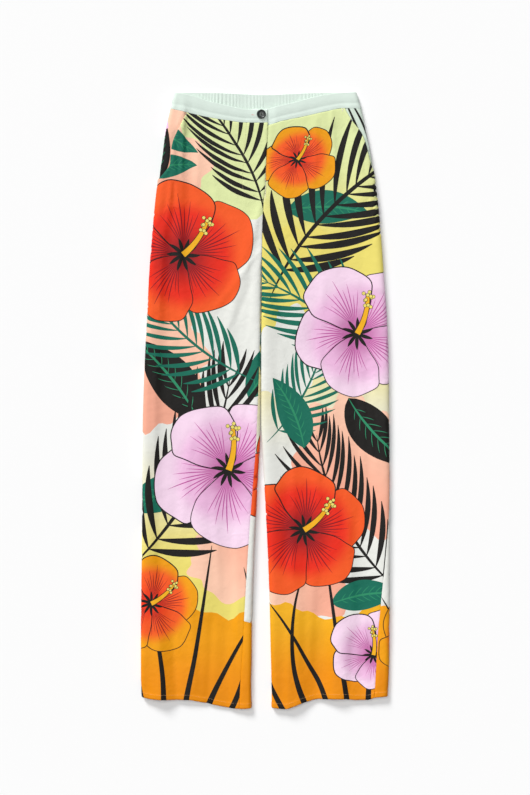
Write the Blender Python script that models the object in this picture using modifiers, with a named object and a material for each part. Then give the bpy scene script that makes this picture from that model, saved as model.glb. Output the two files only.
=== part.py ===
"""Straight-leg trousers, laid flat on their back with the front up.

One smooth tube of cloth is worked out for each leg, as rings from the hem to the waist. Above
the crotch the two tubes open into each other and make the seat. Every panel is a strip of that
tube, given a wall, and the panels meet at the seams with a small gap. +X is to the viewer's
right, +Y runs up to the waist and +Z is away from the surface that the trousers lie on. "Right"
and "left" are the wearer's.

Lengths are millimetres until the mesh is made. "Up" is the distance up the garment from its
lowest hem, and "reach" is how far in from the tube's edge its rounded roll comes.
"""

import math
from collections import namedtuple

import bmesh
import bpy
import numpy as np

MM = 0.001

# Driving sizes
LENGTH = 1111.0
CROTCH_UP = 782.0
CROTCH_CURVE = 42.0
WAIST_SEAM_UP = 1081.0
SEAM_GAP = 0.3
LAYER_GAP = 0.4
CLOTH = 1.2
BAG_CLOTH = 1.0
WAISTBAND_CLOTH = 2.0

# The button, and its half section: shares of its radius against heights
BUTTON_DIAMETER = 16.5
BUTTON_X = -7.1
BUTTON_UP = 1071.0
BUTTON_SIDES = 28
BUTTON_HOLES = 4
HOLE_RING = 1.75
HOLE_RADIUS = 0.9
HOLE_SIDES = 10
HOLE_CUTTER = 8.0
Turning = namedtuple("Turning", "share z")
BUTTON_PROFILE = (
    Turning(0.0, 1.7),
    Turning(0.56, 1.7),
    Turning(0.68, 2.3),
    Turning(0.80, 2.9),
    Turning(0.90, 2.9),
    Turning(0.97, 2.4),
    Turning(1.0, 1.7),
    Turning(0.97, 0.9),
    Turning(0.86, 0.3),
    Turning(0.66, 0.0),
    Turning(0.0, 0.0),
)

# The tube's height at its edges and across its middle
Height = namedtuple("Height", "up outer inner middle reach")
HEIGHTS = (
    Height(0, 9.0, 9.0, 4.6, 7.5),
    Height(300, 10.0, 10.0, 5.0, 8.0),
    Height(640, 11.0, 10.0, 5.4, 8.0),
    Height(782, 11.5, 10.0, 6.2, 8.5),
    Height(860, 11.5, 7.4, 6.8, 8.5),
    Height(1000, 11.0, 7.4, 7.0, 8.5),
    Height(1081, 10.0, 8.6, 8.6, 7.0),
    Height(1111, 9.6, 8.8, 8.8, 6.5),
)
ROLL_SPREAD = 34.0
ROLL_SHARE = 0.8
FOLD_CLEAR = 14.0

# Each leg's edges, and how far each seam lies along the cloth from that edge: above zero the
# seam is up on the front, below zero it has rolled underneath.
Section = namedtuple("Section", "up outer inner outseam inseam")
RIGHT_LEG = (
    Section(0, -222.6, -24.7, -8.0, 24.5),
    Section(35, -224.2, -24.7, -8.0, 23.0),
    Section(125, -224.4, -24.0, -8.0, 18.2),
    Section(270, -222.8, -19.8, -8.0, 14.4),
    Section(400, -221.6, -14.0, -8.0, 11.0),
    Section(490, -221.2, -9.2, -8.0, 9.0),
    Section(611, -217.8, -8.0, -8.0, 5.0),
    Section(719, -212.4, -7.6, -8.0, 1.5),
    Section(782, -209.4, -7.0, -8.0, 0.0),
    Section(881, -201.6, -5.0, -8.0, 0.0),
    Section(935, -196.0, -2.6, -8.0, 0.0),
    Section(990, -186.6, -0.4, -8.0, 0.0),
    Section(1043, -179.8, 2.0, -8.0, 0.0),
    Section(1081, -171.0, 3.4, -7.0, 0.0),
    Section(1111, -164.0, 4.4, -6.0, 0.0),
)
LEFT_LEG = (
    Section(0, 220.9, 11.5, 27.0, -8.0),
    Section(35, 222.6, 11.2, 26.6, -8.0),
    Section(125, 224.0, 9.2, 24.0, -8.0),
    Section(180, 224.4, 8.0, 19.5, -8.0),
    Section(270, 224.4, 4.9, 10.5, -8.0),
    Section(370, 224.2, 0.0, 1.5, -8.0),
    Section(470, 223.8, -5.6, -4.0, -8.0),
    Section(520, 223.4, -7.4, -5.0, -7.0),
    Section(640, 222.0, -7.4, -5.0, -4.0),
    Section(719, 218.4, -7.0, -5.0, -1.5),
    Section(782, 213.8, -6.4, -5.0, 0.0),
    Section(881, 206.4, -4.4, -5.0, 0.0),
    Section(935, 200.6, -2.0, -5.0, 0.0),
    Section(990, 191.8, 0.2, -5.0, 0.0),
    Section(1043, 181.0, 2.6, -5.0, 0.0),
    Section(1081, 173.0, 4.0, -6.0, 0.0),
    Section(1111, 164.0, 5.0, -6.0, 0.0),
)

# The line of each slanted pocket's mouth, seen from the front
Mouth = namedtuple("Mouth", "up x")
POCKET_MOUTHS = {
    "right": (
        Mouth(938, -206.0),
        Mouth(950, -195.8),
        Mouth(965, -182.0),
        Mouth(981, -171.4),
        Mouth(1000, -170.0),
        Mouth(1022, -166.1),
        Mouth(1042, -157.1),
        Mouth(1071, -142.7),
        Mouth(1092, -134.0),
    ),
    "left": (
        Mouth(955, 207.0),
        Mouth(966, 197.4),
        Mouth(980, 190.6),
        Mouth(994, 186.4),
        Mouth(1014, 181.6),
        Mouth(1035, 174.2),
        Mouth(1059, 156.2),
        Mouth(1084, 141.8),
        Mouth(1095, 135.0),
    ),
}
MOUTH_STEPS = 18
CUTTER_X = 280.0
CUTTER_BOTTOM = -5.0
CUTTER_TOP = 25.0
POCKET_FROM_UP = 850.0
POCKET_COLUMNS = 13

# Where the front's waist seam and the band's upper edge lie above or below the side's own level
Edge = namedtuple("Edge", "x seam top")
FRONT_EDGES_RIGHT = (
    Edge(-171, 0.0, 0.0),
    Edge(-139, -7.5, -4.6),
    Edge(-101, -16.0, -16.5),
    Edge(-63, -22.0, -25.5),
    Edge(-36, -25.0, -31.0),
    Edge(-15, -25.2, -32.0),
    Edge(5, -25.0, -31.6),
)
FRONT_EDGES_LEFT = (
    Edge(-30, -32.0, -33.0),
    Edge(-5, -31.5, -32.0),
    Edge(12, -28.0, -28.0),
    Edge(27, -23.0, -24.5),
    Edge(66, -14.8, -15.0),
    Edge(84, -10.8, -9.8),
    Edge(116, -3.5, -3.6),
    Edge(139, 0.6, -1.2),
    Edge(173, 0.0, 0.0),
)
FRONT_WAIST_REACH = 230.0
BACK_DIP = 4.0
BACK_DIP_REACH = 90.0
BACK_DIP_HALF_WIDTH = 60.0

# The hem's line, and how far its upper layer stands off the lower one
Hem = namedtuple("Hem", "x rise lift")
HEM = (
    Hem(-225, 22.0, 0.0),
    Hem(-207, 18.0, 3.0),
    Hem(-185, 16.6, 4.5),
    Hem(-140, 16.0, 3.5),
    Hem(-117, 12.0, 1.6),
    Hem(-90, 5.8, 0.5),
    Hem(-66, 1.4, 0.0),
    Hem(-40, 0.0, 0.5),
    Hem(-22, 1.6, 0.0),
    Hem(0, 2.6, 0.0),
    Hem(14, 1.6, 0.0),
    Hem(36, 0.0, 0.5),
    Hem(51, 4.0, 2.0),
    Hem(72, 12.0, 4.0),
    Hem(103, 17.4, 5.0),
    Hem(144, 17.8, 3.0),
    Hem(163, 16.0, 1.6),
    Hem(185, 16.4, 2.0),
    Hem(198, 20.4, 1.6),
    Hem(222, 22.6, 0.0),
)
HEM_REACH = 110.0
BACK_HEM_RISE = 3.0

# The largest folds: soft ridges above zero and troughs below it, each along a straight run
Fold = namedtuple("Fold", "x_high up_high x_low up_low half_width height")
FOLDS = (
    Fold(-150, 1060, -157, 800, 9, 2.8),
    Fold(-134, 1040, -139, 840, 10, -0.9),
    Fold(-172, 975, -174, 905, 8, 1.8),
    Fold(-66, 1030, -34, 820, 17, 1.2),
    Fold(-24, 860, -62, 700, 11, 2.0),
    Fold(-26, 800, -30, 560, 9, -1.2),
    Fold(14, 850, 62, 690, 12, 1.8),
    Fold(156, 1050, 172, 880, 11, 2.0),
    Fold(136, 1030, 148, 760, 14, -0.9),
    Fold(62, 640, 92, 180, 20, -1.2),
    Fold(126, 700, 138, 120, 20, 2.2),
    Fold(176, 560, 170, 60, 15, -1.1),
    Fold(98, 170, 94, 0, 20, -1.8),
    Fold(95, 30, 94, 0, 20, -1.8),
    Fold(48, 230, 50, 0, 15, 2.4),
    Fold(142, 130, 146, 0, 18, 2.2),
    Fold(-110, 640, -118, 190, 20, 2.2),
    Fold(-162, 520, -158, 140, 18, -1.1),
    Fold(-62, 460, -74, 80, 14, -1.1),
    Fold(-192, 170, -187, 0, 13, 3.6),
)
FOLD_END = 60.0

# The back waistband is gathered onto elastic, but for a smooth stretch at the centre
GATHER_FROM = -142.0
GATHER_TO = 140.0
GATHER_COUNT = 46
GATHER_DEPTH = 1.4
GATHER_COLUMNS = 4
SMOOTH_FROM = 0.0
SMOOTH_TO = 18.0

# Rows up each panel, as stretches with a number of steps in each
Stretch = namedtuple("Stretch", "start end steps")
LEG_ROWS = (
    Stretch(0, 48, 3),
    Stretch(48, 480, 6),
    Stretch(480, 740, 4),
    Stretch(740, 850, 6),
    Stretch(850, 930, 2),
    Stretch(930, 990, 5),
    Stretch(990, WAIST_SEAM_UP, 5),
)
BAND_ROWS = (Stretch(WAIST_SEAM_UP + SEAM_GAP, LENGTH, 2),)
ZIP_ROWS = (Stretch(915, 1074, 6),)
EDGE_STEPS = (0, 2.5, 5, 8, 12, 18)
FRONT_MIDDLE_STEPS = 20
BACK_MIDDLE_STEPS = 3
BACK_ROLL = 14.0
BACK_ROLL_STEPS = 6
ROLL_STEPS = 40
FLAT_STEPS = 160
SHARP_ANGLE = 50.0

# How far the zip's columns lie from the centre front
ZIP_COLUMNS = (1.0, 6.0, 13.0)
BAND_OVERLAP_TO = 3.9
BAND_UNDERLAP_FROM = -26.0
BAND_STEP_OVER = 16.0
BAND_LAP_STEPS = 2

Finish = namedtuple("Finish", "colour roughness metallic")
PRINT_RIGHT = Finish((0.90, 0.56, 0.47), 0.55, 0.0)
PRINT_LEFT = Finish((0.86, 0.80, 0.40), 0.55, 0.0)
MINT = Finish((0.74, 0.88, 0.80), 0.55, 0.0)
POCKET_CLOTH = Finish((0.80, 0.84, 0.66), 0.6, 0.0)
ZIP_TAPE = Finish((0.80, 0.84, 0.78), 0.7, 0.0)
BUTTON_BLACK = Finish((0.015, 0.02, 0.02), 0.3, 0.0)


def column(table, name):
    """One named column of a table, as numbers."""
    return np.array([getattr(row, name) for row in table], float)


def along(table, key, name, at):
    """A smooth curve through a column of a table, with no overshoot, read at one or more places."""
    knots, values = column(table, key), column(table, name)
    steps = np.diff(knots)
    slopes = np.diff(values) / steps
    tangents = np.zeros(len(knots))
    tangents[[0, -1]] = slopes[[0, -1]]
    turning = slopes[:-1] * slopes[1:] <= 0
    mean = 2 * slopes[:-1] * slopes[1:] / np.where(turning, 1, slopes[:-1] + slopes[1:])
    tangents[1:-1] = np.where(turning, 0, mean)
    at = np.clip(np.asarray(at, float), knots[0], knots[-1])
    i = np.clip(np.searchsorted(knots, at) - 1, 0, len(knots) - 2)
    t = (at - knots[i]) / steps[i]
    rise = values[i + 1] - values[i]
    bend_in = (tangents[i] * steps[i] - rise) * t * (1 - t) ** 2
    bend_out = (rise - tangents[i + 1] * steps[i]) * t * t * (1 - t)
    return values[i] + rise * t + bend_in + bend_out


def ease(t):
    """From 0 to 1, level at both ends."""
    t = np.clip(t, 0, 1)
    return t * t * (3 - 2 * t)


def rows_of(stretches):
    """The levels of a panel's rows."""
    levels = [np.linspace(s.start, s.end, s.steps + 1)[1:] for s in stretches]
    return np.concatenate([[stretches[0].start], *levels])


def fold_height(x, up):
    """How far the folds raise the upper cloth at each x of one level."""
    total = np.zeros_like(x)
    for fold in FOLDS:
        share = (fold.up_high - up) / (fold.up_high - fold.up_low)
        centre = fold.x_high + share * (fold.x_low - fold.x_high)
        fade = ease((fold.up_high + FOLD_END - up) / FOLD_END)
        fade *= ease((up - fold.up_low + FOLD_END) / FOLD_END)
        total += fold.height * fade * np.exp(-(((x - centre) / fold.half_width) ** 2))
    return total


def front_shift(edges, x, up):
    """How far the front's cloth at x is shifted up the garment, by the hem's and the waist's lines."""
    hem = along(HEM, "x", "rise", x) * (1 - ease(up / HEM_REACH))
    seam = along(edges, "x", "seam", x)
    top = along(edges, "x", "top", x)
    band = np.clip((up - WAIST_SEAM_UP) / (LENGTH - WAIST_SEAM_UP), 0, 1)
    waist = (seam + (top - seam) * band) * ease((up - WAIST_SEAM_UP) / FRONT_WAIST_REACH + 1)
    return hem + waist


def back_shift(x, up):
    """The same for the back's cloth."""
    hem = (along(HEM, "x", "rise", x) + BACK_HEM_RISE) * (1 - ease(up / HEM_REACH))
    dip = BACK_DIP * np.exp(-((x / BACK_DIP_HALF_WIDTH) ** 2))
    return hem - dip * ease((up - WAIST_SEAM_UP) / BACK_DIP_REACH + 1)


Ring = namedtuple("Ring", "up along inward z out_inward out_z front back height")


class Tube:
    """One leg's tube of cloth and its half of the seat; side is -1 for the right and 1 for the left."""

    def __init__(self, sections, edges, side):
        self.sections = sections
        self.edges = edges
        self.side = side

    def read(self, name, up):
        """A column of this leg's sections at one level."""
        return float(along(self.sections, "up", name, up))

    def x_of(self, inward, up):
        """The x of a place that lies this far in from the outer edge."""
        return self.read("outer", up) - self.side * inward

    def top(self, inward, up, closed):
        """The height of the upper cloth; closed is 1 where the tube is round and 0 on the seat."""
        outer, inner, middle, reach = (
            float(along(HEIGHTS, "up", name, up)) for name in ("outer", "inner", "middle", "reach")
        )
        width = abs(self.read("inner", up) - self.read("outer", up))
        from_inner = width - inward - reach * closed
        height = middle + (outer - middle) * (1 - ease((inward - reach) / ROLL_SPREAD))
        height += (inner - middle) * (1 - ease(from_inner / ROLL_SPREAD))
        x = self.x_of(inward, up)
        lift = along(HEM, "x", "lift", x) * (1 - ease(up / HEM_REACH))
        share = ease((inward - reach) / FOLD_CLEAR)
        share = share * (1 - closed + closed * ease(from_inner / FOLD_CLEAR))
        return height + share * (lift + fold_height(x, up))

    def ring(self, up):
        """The cloth's line round the tube at one level. It runs from the inner edge underneath to
        the outer edge, where its distance along is 0, and back over the top."""
        outer, inner, reach = (
            float(along(HEIGHTS, "up", name, up)) for name in ("outer", "inner", "reach")
        )
        closed = 1 - float(ease((up - CROTCH_UP) / CROTCH_CURVE))
        width = abs(self.read("inner", up) - self.read("outer", up))
        turn = np.linspace(0, math.pi / 2, ROLL_STEPS)
        half = outer / 2
        inner_half = inner / 2
        inner_turn = turn * closed if closed > 0 else turn[:1]
        inner_start = width - reach * math.sin(inner_turn[-1])
        flat = np.linspace(reach, inner_start, FLAT_STEPS)[1:-1]
        over = self.top(flat, up, closed)
        over_end = float(self.top(np.array([inner_start]), up, closed)[0])

        inward_over = [reach * (1 - np.cos(turn)), flat, inner_start + reach * np.sin(inner_turn)]
        z_over = [half + half * np.sin(turn), over, over_end - inner_half * (1 - np.cos(inner_turn))]
        slope = np.gradient(over, flat)
        out_inward_over = [-np.cos(turn) / reach, -slope, np.sin(inner_turn) / reach]
        out_z_over = [np.sin(turn) / half, np.ones_like(flat), np.cos(inner_turn) / inner_half]

        z_under = [half - half * np.sin(turn), flat * 0, inner_half * (1 - np.cos(inner_turn))]
        out_inward_under = [-np.cos(turn) / reach, flat * 0, np.sin(inner_turn) / reach]
        out_z_under = [-np.sin(turn) / half, flat * 0 - 1, -np.cos(inner_turn) / inner_half]

        inward = np.concatenate([np.concatenate(inward_over)[:0:-1], *inward_over])
        z = np.concatenate([np.concatenate(z_under)[:0:-1], *z_over])
        out_inward = np.concatenate([np.concatenate(out_inward_under)[:0:-1], *out_inward_over])
        out_z = np.concatenate([np.concatenate(out_z_under)[:0:-1], *out_z_over])
        size = np.hypot(out_inward, out_z)
        distance = np.concatenate([[0], np.cumsum(np.hypot(np.diff(inward), np.diff(z)))])
        distance -= distance[len(distance) // 2]
        lines = [inward, z, out_inward / size, out_z / size]
        front, back = float(distance[-1]), float(-distance[0])
        if closed == 1:
            whole = front + back
            distance = np.concatenate([distance - whole, distance, distance + whole])
            lines = [np.tile(line, 3) for line in lines]
        return Ring(up, distance, *lines, front, back, max(outer, inner))

    def points(self, ring, places, depth):
        """The points at these distances along a ring, this far in from the cloth's outer face."""
        inward = np.interp(places, ring.along, ring.inward)
        z = np.interp(places, ring.along, ring.z)
        out_inward = np.interp(places, ring.along, ring.out_inward)
        out_z = np.interp(places, ring.along, ring.out_z)
        x = self.x_of(inward, ring.up)
        front_share = ease(z / (ROLL_SHARE * ring.height))
        shift = front_share * front_shift(self.edges, x, ring.up)
        shift += (1 - front_share) * back_shift(x, ring.up)
        x = self.x_of(inward - out_inward * depth, ring.up)
        return np.stack([x, ring.up + shift - LENGTH / 2, z - out_z * depth], axis=-1)


RIGHT = Tube(RIGHT_LEG, FRONT_EDGES_RIGHT, -1)
LEFT = Tube(LEFT_LEG, FRONT_EDGES_LEFT, 1)
SIDES = {"right": RIGHT, "left": LEFT}


def made_object(name, mesh, finish, collection):
    """An object with its own material, in the garment's collection."""
    material = bpy.data.materials.new(name + "_finish")
    material.use_nodes = True
    shader = material.node_tree.nodes["Principled BSDF"]
    shader.inputs["Base Color"].default_value = (*finish.colour, 1)
    shader.inputs["Roughness"].default_value = finish.roughness
    shader.inputs["Metallic"].default_value = finish.metallic
    mesh.materials.append(material)
    made = bpy.data.objects.new(name, mesh)
    collection.objects.link(made)
    return made


def wall(name, outer, inner, finish, collection):
    """A closed wall between two grids of points, each with rows, columns and x, y, z."""
    rows, columns = outer.shape[:2]
    shell = bmesh.new()
    faces = [[[shell.verts.new(point * MM) for point in row] for row in grid] for grid in (outer, inner)]
    for grid in faces:
        for low, high in zip(grid, grid[1:]):
            for i in range(columns - 1):
                shell.faces.new((low[i], low[i + 1], high[i + 1], high[i]))
    rim = [(0, c) for c in range(columns)]
    rim += [(r, columns - 1) for r in range(1, rows)]
    rim += [(rows - 1, c) for c in range(columns - 2, -1, -1)]
    rim += [(r, 0) for r in range(rows - 2, 0, -1)]
    for (row, place), (next_row, next_place) in zip(rim, rim[1:] + rim[:1]):
        ends = [grid[r][c] for r, c in ((row, place), (next_row, next_place)) for grid in faces]
        shell.faces.new((ends[0], ends[1], ends[3], ends[2]))
    bmesh.ops.recalc_face_normals(shell, faces=shell.faces)
    mesh = bpy.data.meshes.new(name)
    shell.to_mesh(mesh)
    shell.free()
    mesh.shade_smooth()
    mesh.set_sharp_from_angle(angle=math.radians(SHARP_ANGLE))
    return made_object(name, mesh, finish, collection)


def panel(name, tube, levels, places_at, depth, cloth, finish, collection):
    """A wall along one tube: places_at gives, for a ring, the distances along it of the columns."""
    outer, inner = [], []
    for up in levels:
        ring = tube.ring(up)
        places = places_at(ring)
        outer.append(tube.points(ring, places, depth))
        inner.append(tube.points(ring, places, depth + cloth))
    return wall(name, np.array(outer), np.array(inner), finish, collection)


def spaced(start, end):
    """Places from start to end, close together near both."""
    near = np.array(EDGE_STEPS)
    middle = np.linspace(start + near[-1], end - near[-1], FRONT_MIDDLE_STEPS + 1)[1:-1]
    return np.concatenate([start + near, middle, end - near[::-1]])


def front_places(tube, ring):
    """Where a front's columns lie along a ring, from its outseam to its inseam or centre."""
    start = tube.read("outseam", ring.up) + SEAM_GAP / 2
    return spaced(start, ring.front - tube.read("inseam", ring.up) - SEAM_GAP / 2)


def front_panel(name, collection, cutters):
    """A front, cut away from its outseam to the pocket's mouth."""
    tube = SIDES[name]

    def places(ring):
        """Where the columns lie along a ring."""
        return front_places(tube, ring)

    finish = PRINT_RIGHT if name == "right" else PRINT_LEFT
    front = panel("front_" + name, tube, rows_of(LEG_ROWS), places, 0, CLOTH, finish, collection)
    cut = front.modifiers.new("Pocket mouth", "BOOLEAN")
    cut.operation = "DIFFERENCE"
    cut.object = mouth_cutter(name, cutters)


def mouth_cutter(name, cutters):
    """An upright prism over what is cut away between the side and the pocket's mouth."""
    mouth = POCKET_MOUTHS[name]
    ups = np.linspace(mouth[0].up, mouth[-1].up, MOUTH_STEPS)
    line = [(x, up) for x, up in zip(along(mouth, "up", "x", ups), ups)]
    outside = SIDES[name].side * CUTTER_X
    outline = line + [(outside, mouth[-1].up), (outside, mouth[0].up)]
    prism = bmesh.new()
    base = [
        prism.verts.new((x * MM, (up - LENGTH / 2) * MM, CUTTER_BOTTOM * MM)) for x, up in outline
    ]
    face = prism.faces.new(base)
    raised = bmesh.ops.extrude_face_region(prism, geom=[face])["geom"]
    top = [item for item in raised if isinstance(item, bmesh.types.BMVert)]
    bmesh.ops.translate(prism, verts=top, vec=(0, 0, (CUTTER_TOP - CUTTER_BOTTOM) * MM))
    bmesh.ops.recalc_face_normals(prism, faces=prism.faces)
    return cutter_object("mouth_cutter_" + name, prism, cutters)


def cutter_object(name, shape, cutters):
    """A shape that only cuts others, shown as wire."""
    mesh = bpy.data.meshes.new(name)
    shape.to_mesh(mesh)
    shape.free()
    made = bpy.data.objects.new(name, mesh)
    made.hide_render = True
    made.display_type = "WIRE"
    cutters.objects.link(made)
    return made


def back_panel(name, collection):
    """A back, which lies flat underneath and rolls up round both edges to its seams."""
    tube = SIDES[name]

    def places(ring):
        """Where the columns lie along a ring, backwards from its outermost place."""
        start = SEAM_GAP / 2 - tube.read("outseam", ring.up)
        end = ring.back + tube.read("inseam", ring.up) - SEAM_GAP / 2
        low, high = BACK_ROLL, ring.back - BACK_ROLL
        outer = np.linspace(start, low, BACK_ROLL_STEPS + 1)
        middle = np.linspace(low, high, BACK_MIDDLE_STEPS + 1)[1:-1]
        inner = np.linspace(high, end, BACK_ROLL_STEPS + 1)
        return -np.concatenate([outer, middle, inner])

    finish = PRINT_RIGHT if name == "right" else PRINT_LEFT
    panel("back_" + name, tube, rows_of(LEG_ROWS), places, 0, CLOTH, finish, collection)


def pocket(name, collection):
    """The pocket: its facing shows in the slanted mouth, and its bag hangs on under the front."""
    tube = SIDES[name]
    levels = rows_of(LEG_ROWS)
    levels = levels[levels >= POCKET_FROM_UP]

    def places(ring):
        """Where the columns lie along a ring: the front's own, as far in as the bag reaches."""
        return front_places(tube, ring)[:POCKET_COLUMNS]

    depth = CLOTH + LAYER_GAP
    panel("pocket_" + name, tube, levels, places, depth, BAG_CLOTH, POCKET_CLOTH, collection)


def front_waistband(name, collection):
    """Half of the front's band. The left one runs on under the right one at the centre."""
    tube = SIDES[name]
    outer, inner = [], []
    for up in rows_of(BAND_ROWS):
        ring = tube.ring(up)
        centre = BAND_OVERLAP_TO if name == "right" else BAND_UNDERLAP_FROM
        end = ring.front + tube.side * (tube.read("inner", up) - centre)
        places = front_places(tube, ring)
        places = np.append(places, np.linspace(places[-1], end, BAND_LAP_STEPS + 1)[1:])
        past = np.maximum(places - ring.front, 0)
        places = np.minimum(places, ring.front)
        depth = np.zeros_like(places)
        if name == "left":
            x = tube.points(ring, places, 0)[:, 0] - past
            under = 1 - ease((x - BAND_OVERLAP_TO - 1) / BAND_STEP_OVER)
            depth = under * (WAISTBAND_CLOTH + LAYER_GAP)
        for grid, wall_depth in ((outer, 0), (inner, WAISTBAND_CLOTH)):
            points = tube.points(ring, places, depth + wall_depth)
            points[:, 0] -= tube.side * past
            grid.append(points)
    wall("waistband_front_" + name, np.array(outer), np.array(inner), MINT, collection)


def gather_height(x):
    """How far the gathers stand up from the back band at each x."""
    pitch = (GATHER_TO - GATHER_FROM) / GATHER_COUNT
    wave = 0.5 - 0.5 * np.cos(2 * math.pi * (x - GATHER_FROM) / pitch)
    gathered = (x > GATHER_FROM) & (x < GATHER_TO) & ((x < SMOOTH_FROM) | (x > SMOOTH_TO))
    return GATHER_DEPTH * wave * gathered


def back_waistband(collection):
    """The elastic band: it lies underneath from side to side, with ribs on its inner face."""
    pitch = (GATHER_TO - GATHER_FROM) / GATHER_COUNT
    ribs = GATHER_FROM + pitch / GATHER_COLUMNS * np.arange(GATHER_COUNT * GATHER_COLUMNS + 1)
    ribs = ribs[(ribs < SMOOTH_FROM + pitch / 2) | (ribs > SMOOTH_TO - pitch / 2)]
    outer, inner = [], []
    for up in rows_of(BAND_ROWS):
        row_outer, row_inner = [], []
        for tube in (RIGHT, LEFT):
            ring = tube.ring(up)
            start = SEAM_GAP / 2 - tube.read("outseam", up)
            side = np.linspace(start, BACK_ROLL, BACK_ROLL_STEPS // 2 + 1)
            centre = tube.read("inner", up)
            own = ribs[ribs < centre] if tube is RIGHT else ribs[ribs > centre]
            inward = np.abs(own - tube.read("outer", up))
            flat = ring.back - abs(centre - tube.read("outer", up)) + inward
            places = -np.sort(np.concatenate([side, flat]))
            face = tube.points(ring, places, 0)
            back = tube.points(ring, places, WAISTBAND_CLOTH)
            back[:, 2] += gather_height(back[:, 0])
            order = slice(None) if tube is RIGHT else slice(None, None, -1)
            row_outer.append(face[order])
            row_inner.append(back[order])
        outer.append(np.concatenate(row_outer))
        inner.append(np.concatenate(row_inner))
    wall("waistband_back", np.array(outer), np.array(inner), MINT, collection)


def zip_tape(collection):
    """The closed zip, a plain strip under the fly."""
    depth = CLOTH + LAYER_GAP
    outer, inner = [], []
    for up in rows_of(ZIP_ROWS):
        row = []
        for tube, offsets in ((RIGHT, ZIP_COLUMNS[::-1]), (LEFT, ZIP_COLUMNS)):
            ring = tube.ring(up)
            row.append(tube.points(ring, ring.front - np.array(offsets), depth))
        row = np.concatenate(row)
        row[:, 1] = row[0, 1]
        outer.append(row)
        inner.append(row - (0, 0, CLOTH))
    wall("zip", np.array(outer), np.array(inner), ZIP_TAPE, collection)


def button(collection, cutters):
    """A turned button with a raised rim and four holes, on the band at the centre front."""
    radius = BUTTON_DIAMETER / 2
    mesh = bpy.data.meshes.new("button")
    points = [(row.share * radius * MM, 0, row.z * MM) for row in BUTTON_PROFILE]
    mesh.from_pydata(points, [(i, i + 1) for i in range(len(points) - 1)], [])
    made = made_object("button", mesh, BUTTON_BLACK, collection)
    turned = made.modifiers.new("Turned", "SCREW")
    turned.steps = turned.render_steps = BUTTON_SIDES
    turned.use_merge_vertices = True
    turned.merge_threshold = 0.00001
    turned.use_smooth_shade = True
    for i in range(BUTTON_HOLES):
        hole = button_hole(i, cutters)
        hole.parent = made
        cut = made.modifiers.new(f"Hole {i + 1}", "BOOLEAN")
        cut.operation = "DIFFERENCE"
        cut.object = hole
    seat = band_top_near(BUTTON_X, radius)
    made.location = (BUTTON_X * MM, (BUTTON_UP - LENGTH / 2) * MM, (seat + SEAM_GAP) * MM)


def button_hole(i, cutters):
    """The pin that cuts one of the button's holes."""
    pin = bmesh.new()
    bmesh.ops.create_cone(
        pin,
        cap_ends=True,
        segments=HOLE_SIDES,
        radius1=HOLE_RADIUS * MM,
        radius2=HOLE_RADIUS * MM,
        depth=HOLE_CUTTER * MM,
    )
    hole = cutter_object(f"button_hole_{i + 1}", pin, cutters)
    angle = 2 * math.pi * (i + 0.5) / BUTTON_HOLES
    hole.location = (HOLE_RING * MM * math.cos(angle), HOLE_RING * MM * math.sin(angle), 0)
    return hole


def band_top_near(x, radius):
    """The highest point of the right front band within a radius of an x."""
    highest = 0
    for level in rows_of(BAND_ROWS):
        ring = RIGHT.ring(level)
        points = RIGHT.points(ring, np.linspace(ring.front - 4 * radius, ring.front, FLAT_STEPS), 0)
        near = np.abs(points[:, 0] - x) < radius
        highest = max(highest, points[near, 2].max())
    return highest


def clear_scene():
    """Empty the scene of what a new file holds."""
    for old in list(bpy.data.objects):
        bpy.data.objects.remove(old)


def new_collection(name):
    """A collection in the scene."""
    made = bpy.data.collections.new(name)
    bpy.context.scene.collection.children.link(made)
    return made


clear_scene()
garment = new_collection("straight_leg_trousers")
helpers = new_collection("cutters")
for wearer_side in SIDES:
    front_panel(wearer_side, garment, helpers)
    back_panel(wearer_side, garment)
    pocket(wearer_side, garment)
    front_waistband(wearer_side, garment)
back_waistband(garment)
zip_tape(garment)
button(garment, helpers)
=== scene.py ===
"""Straight-leg trousers in a light woven cloth, laid flat and seen from straight above.

Each leg is a tube of cloth, worked out as rings from the hem to the waist. A panel is a stretch of
that tube, cut to its seams and given a thin wall, and its print is drawn on the flat cut as shapes
of ink. Lengths are millimetres until a mesh is made. "Up" is the distance up the garment from its
lowest hem, and "right" and "left" are the wearer's.
"""

import logging
import math
from dataclasses import dataclass, field
from enum import Enum
from typing import Callable, NamedTuple, Sequence

import bmesh
import bpy
import numpy as np
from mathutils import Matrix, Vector
from mathutils.geometry import delaunay_2d_cdt


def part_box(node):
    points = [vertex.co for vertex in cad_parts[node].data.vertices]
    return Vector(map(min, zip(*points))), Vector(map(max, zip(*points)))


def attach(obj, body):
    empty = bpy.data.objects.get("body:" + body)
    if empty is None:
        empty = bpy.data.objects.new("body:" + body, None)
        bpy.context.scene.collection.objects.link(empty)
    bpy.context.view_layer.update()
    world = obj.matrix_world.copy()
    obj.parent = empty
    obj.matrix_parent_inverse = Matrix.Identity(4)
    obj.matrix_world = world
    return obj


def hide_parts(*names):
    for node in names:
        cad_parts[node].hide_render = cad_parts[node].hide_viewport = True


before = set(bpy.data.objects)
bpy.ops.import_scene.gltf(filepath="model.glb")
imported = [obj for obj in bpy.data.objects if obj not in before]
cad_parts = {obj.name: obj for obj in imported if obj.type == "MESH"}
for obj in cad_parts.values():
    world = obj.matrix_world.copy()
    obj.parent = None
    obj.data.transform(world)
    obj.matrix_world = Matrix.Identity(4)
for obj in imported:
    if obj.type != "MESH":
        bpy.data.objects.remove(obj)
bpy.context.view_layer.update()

LOG = logging.getLogger("trousers")
BODY = "root"
Array = np.ndarray
MM = 0.001
UPWARD = (0.0, 0.0, 1.0)

LENGTH = 1111.0
CROTCH_UP = 782.0
CROTCH_CURVE = 42.0
WAIST_SEAM_UP = 1081.0
SEAM_LAP = 0.12
HALF_LENGTH = LENGTH / 2


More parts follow.
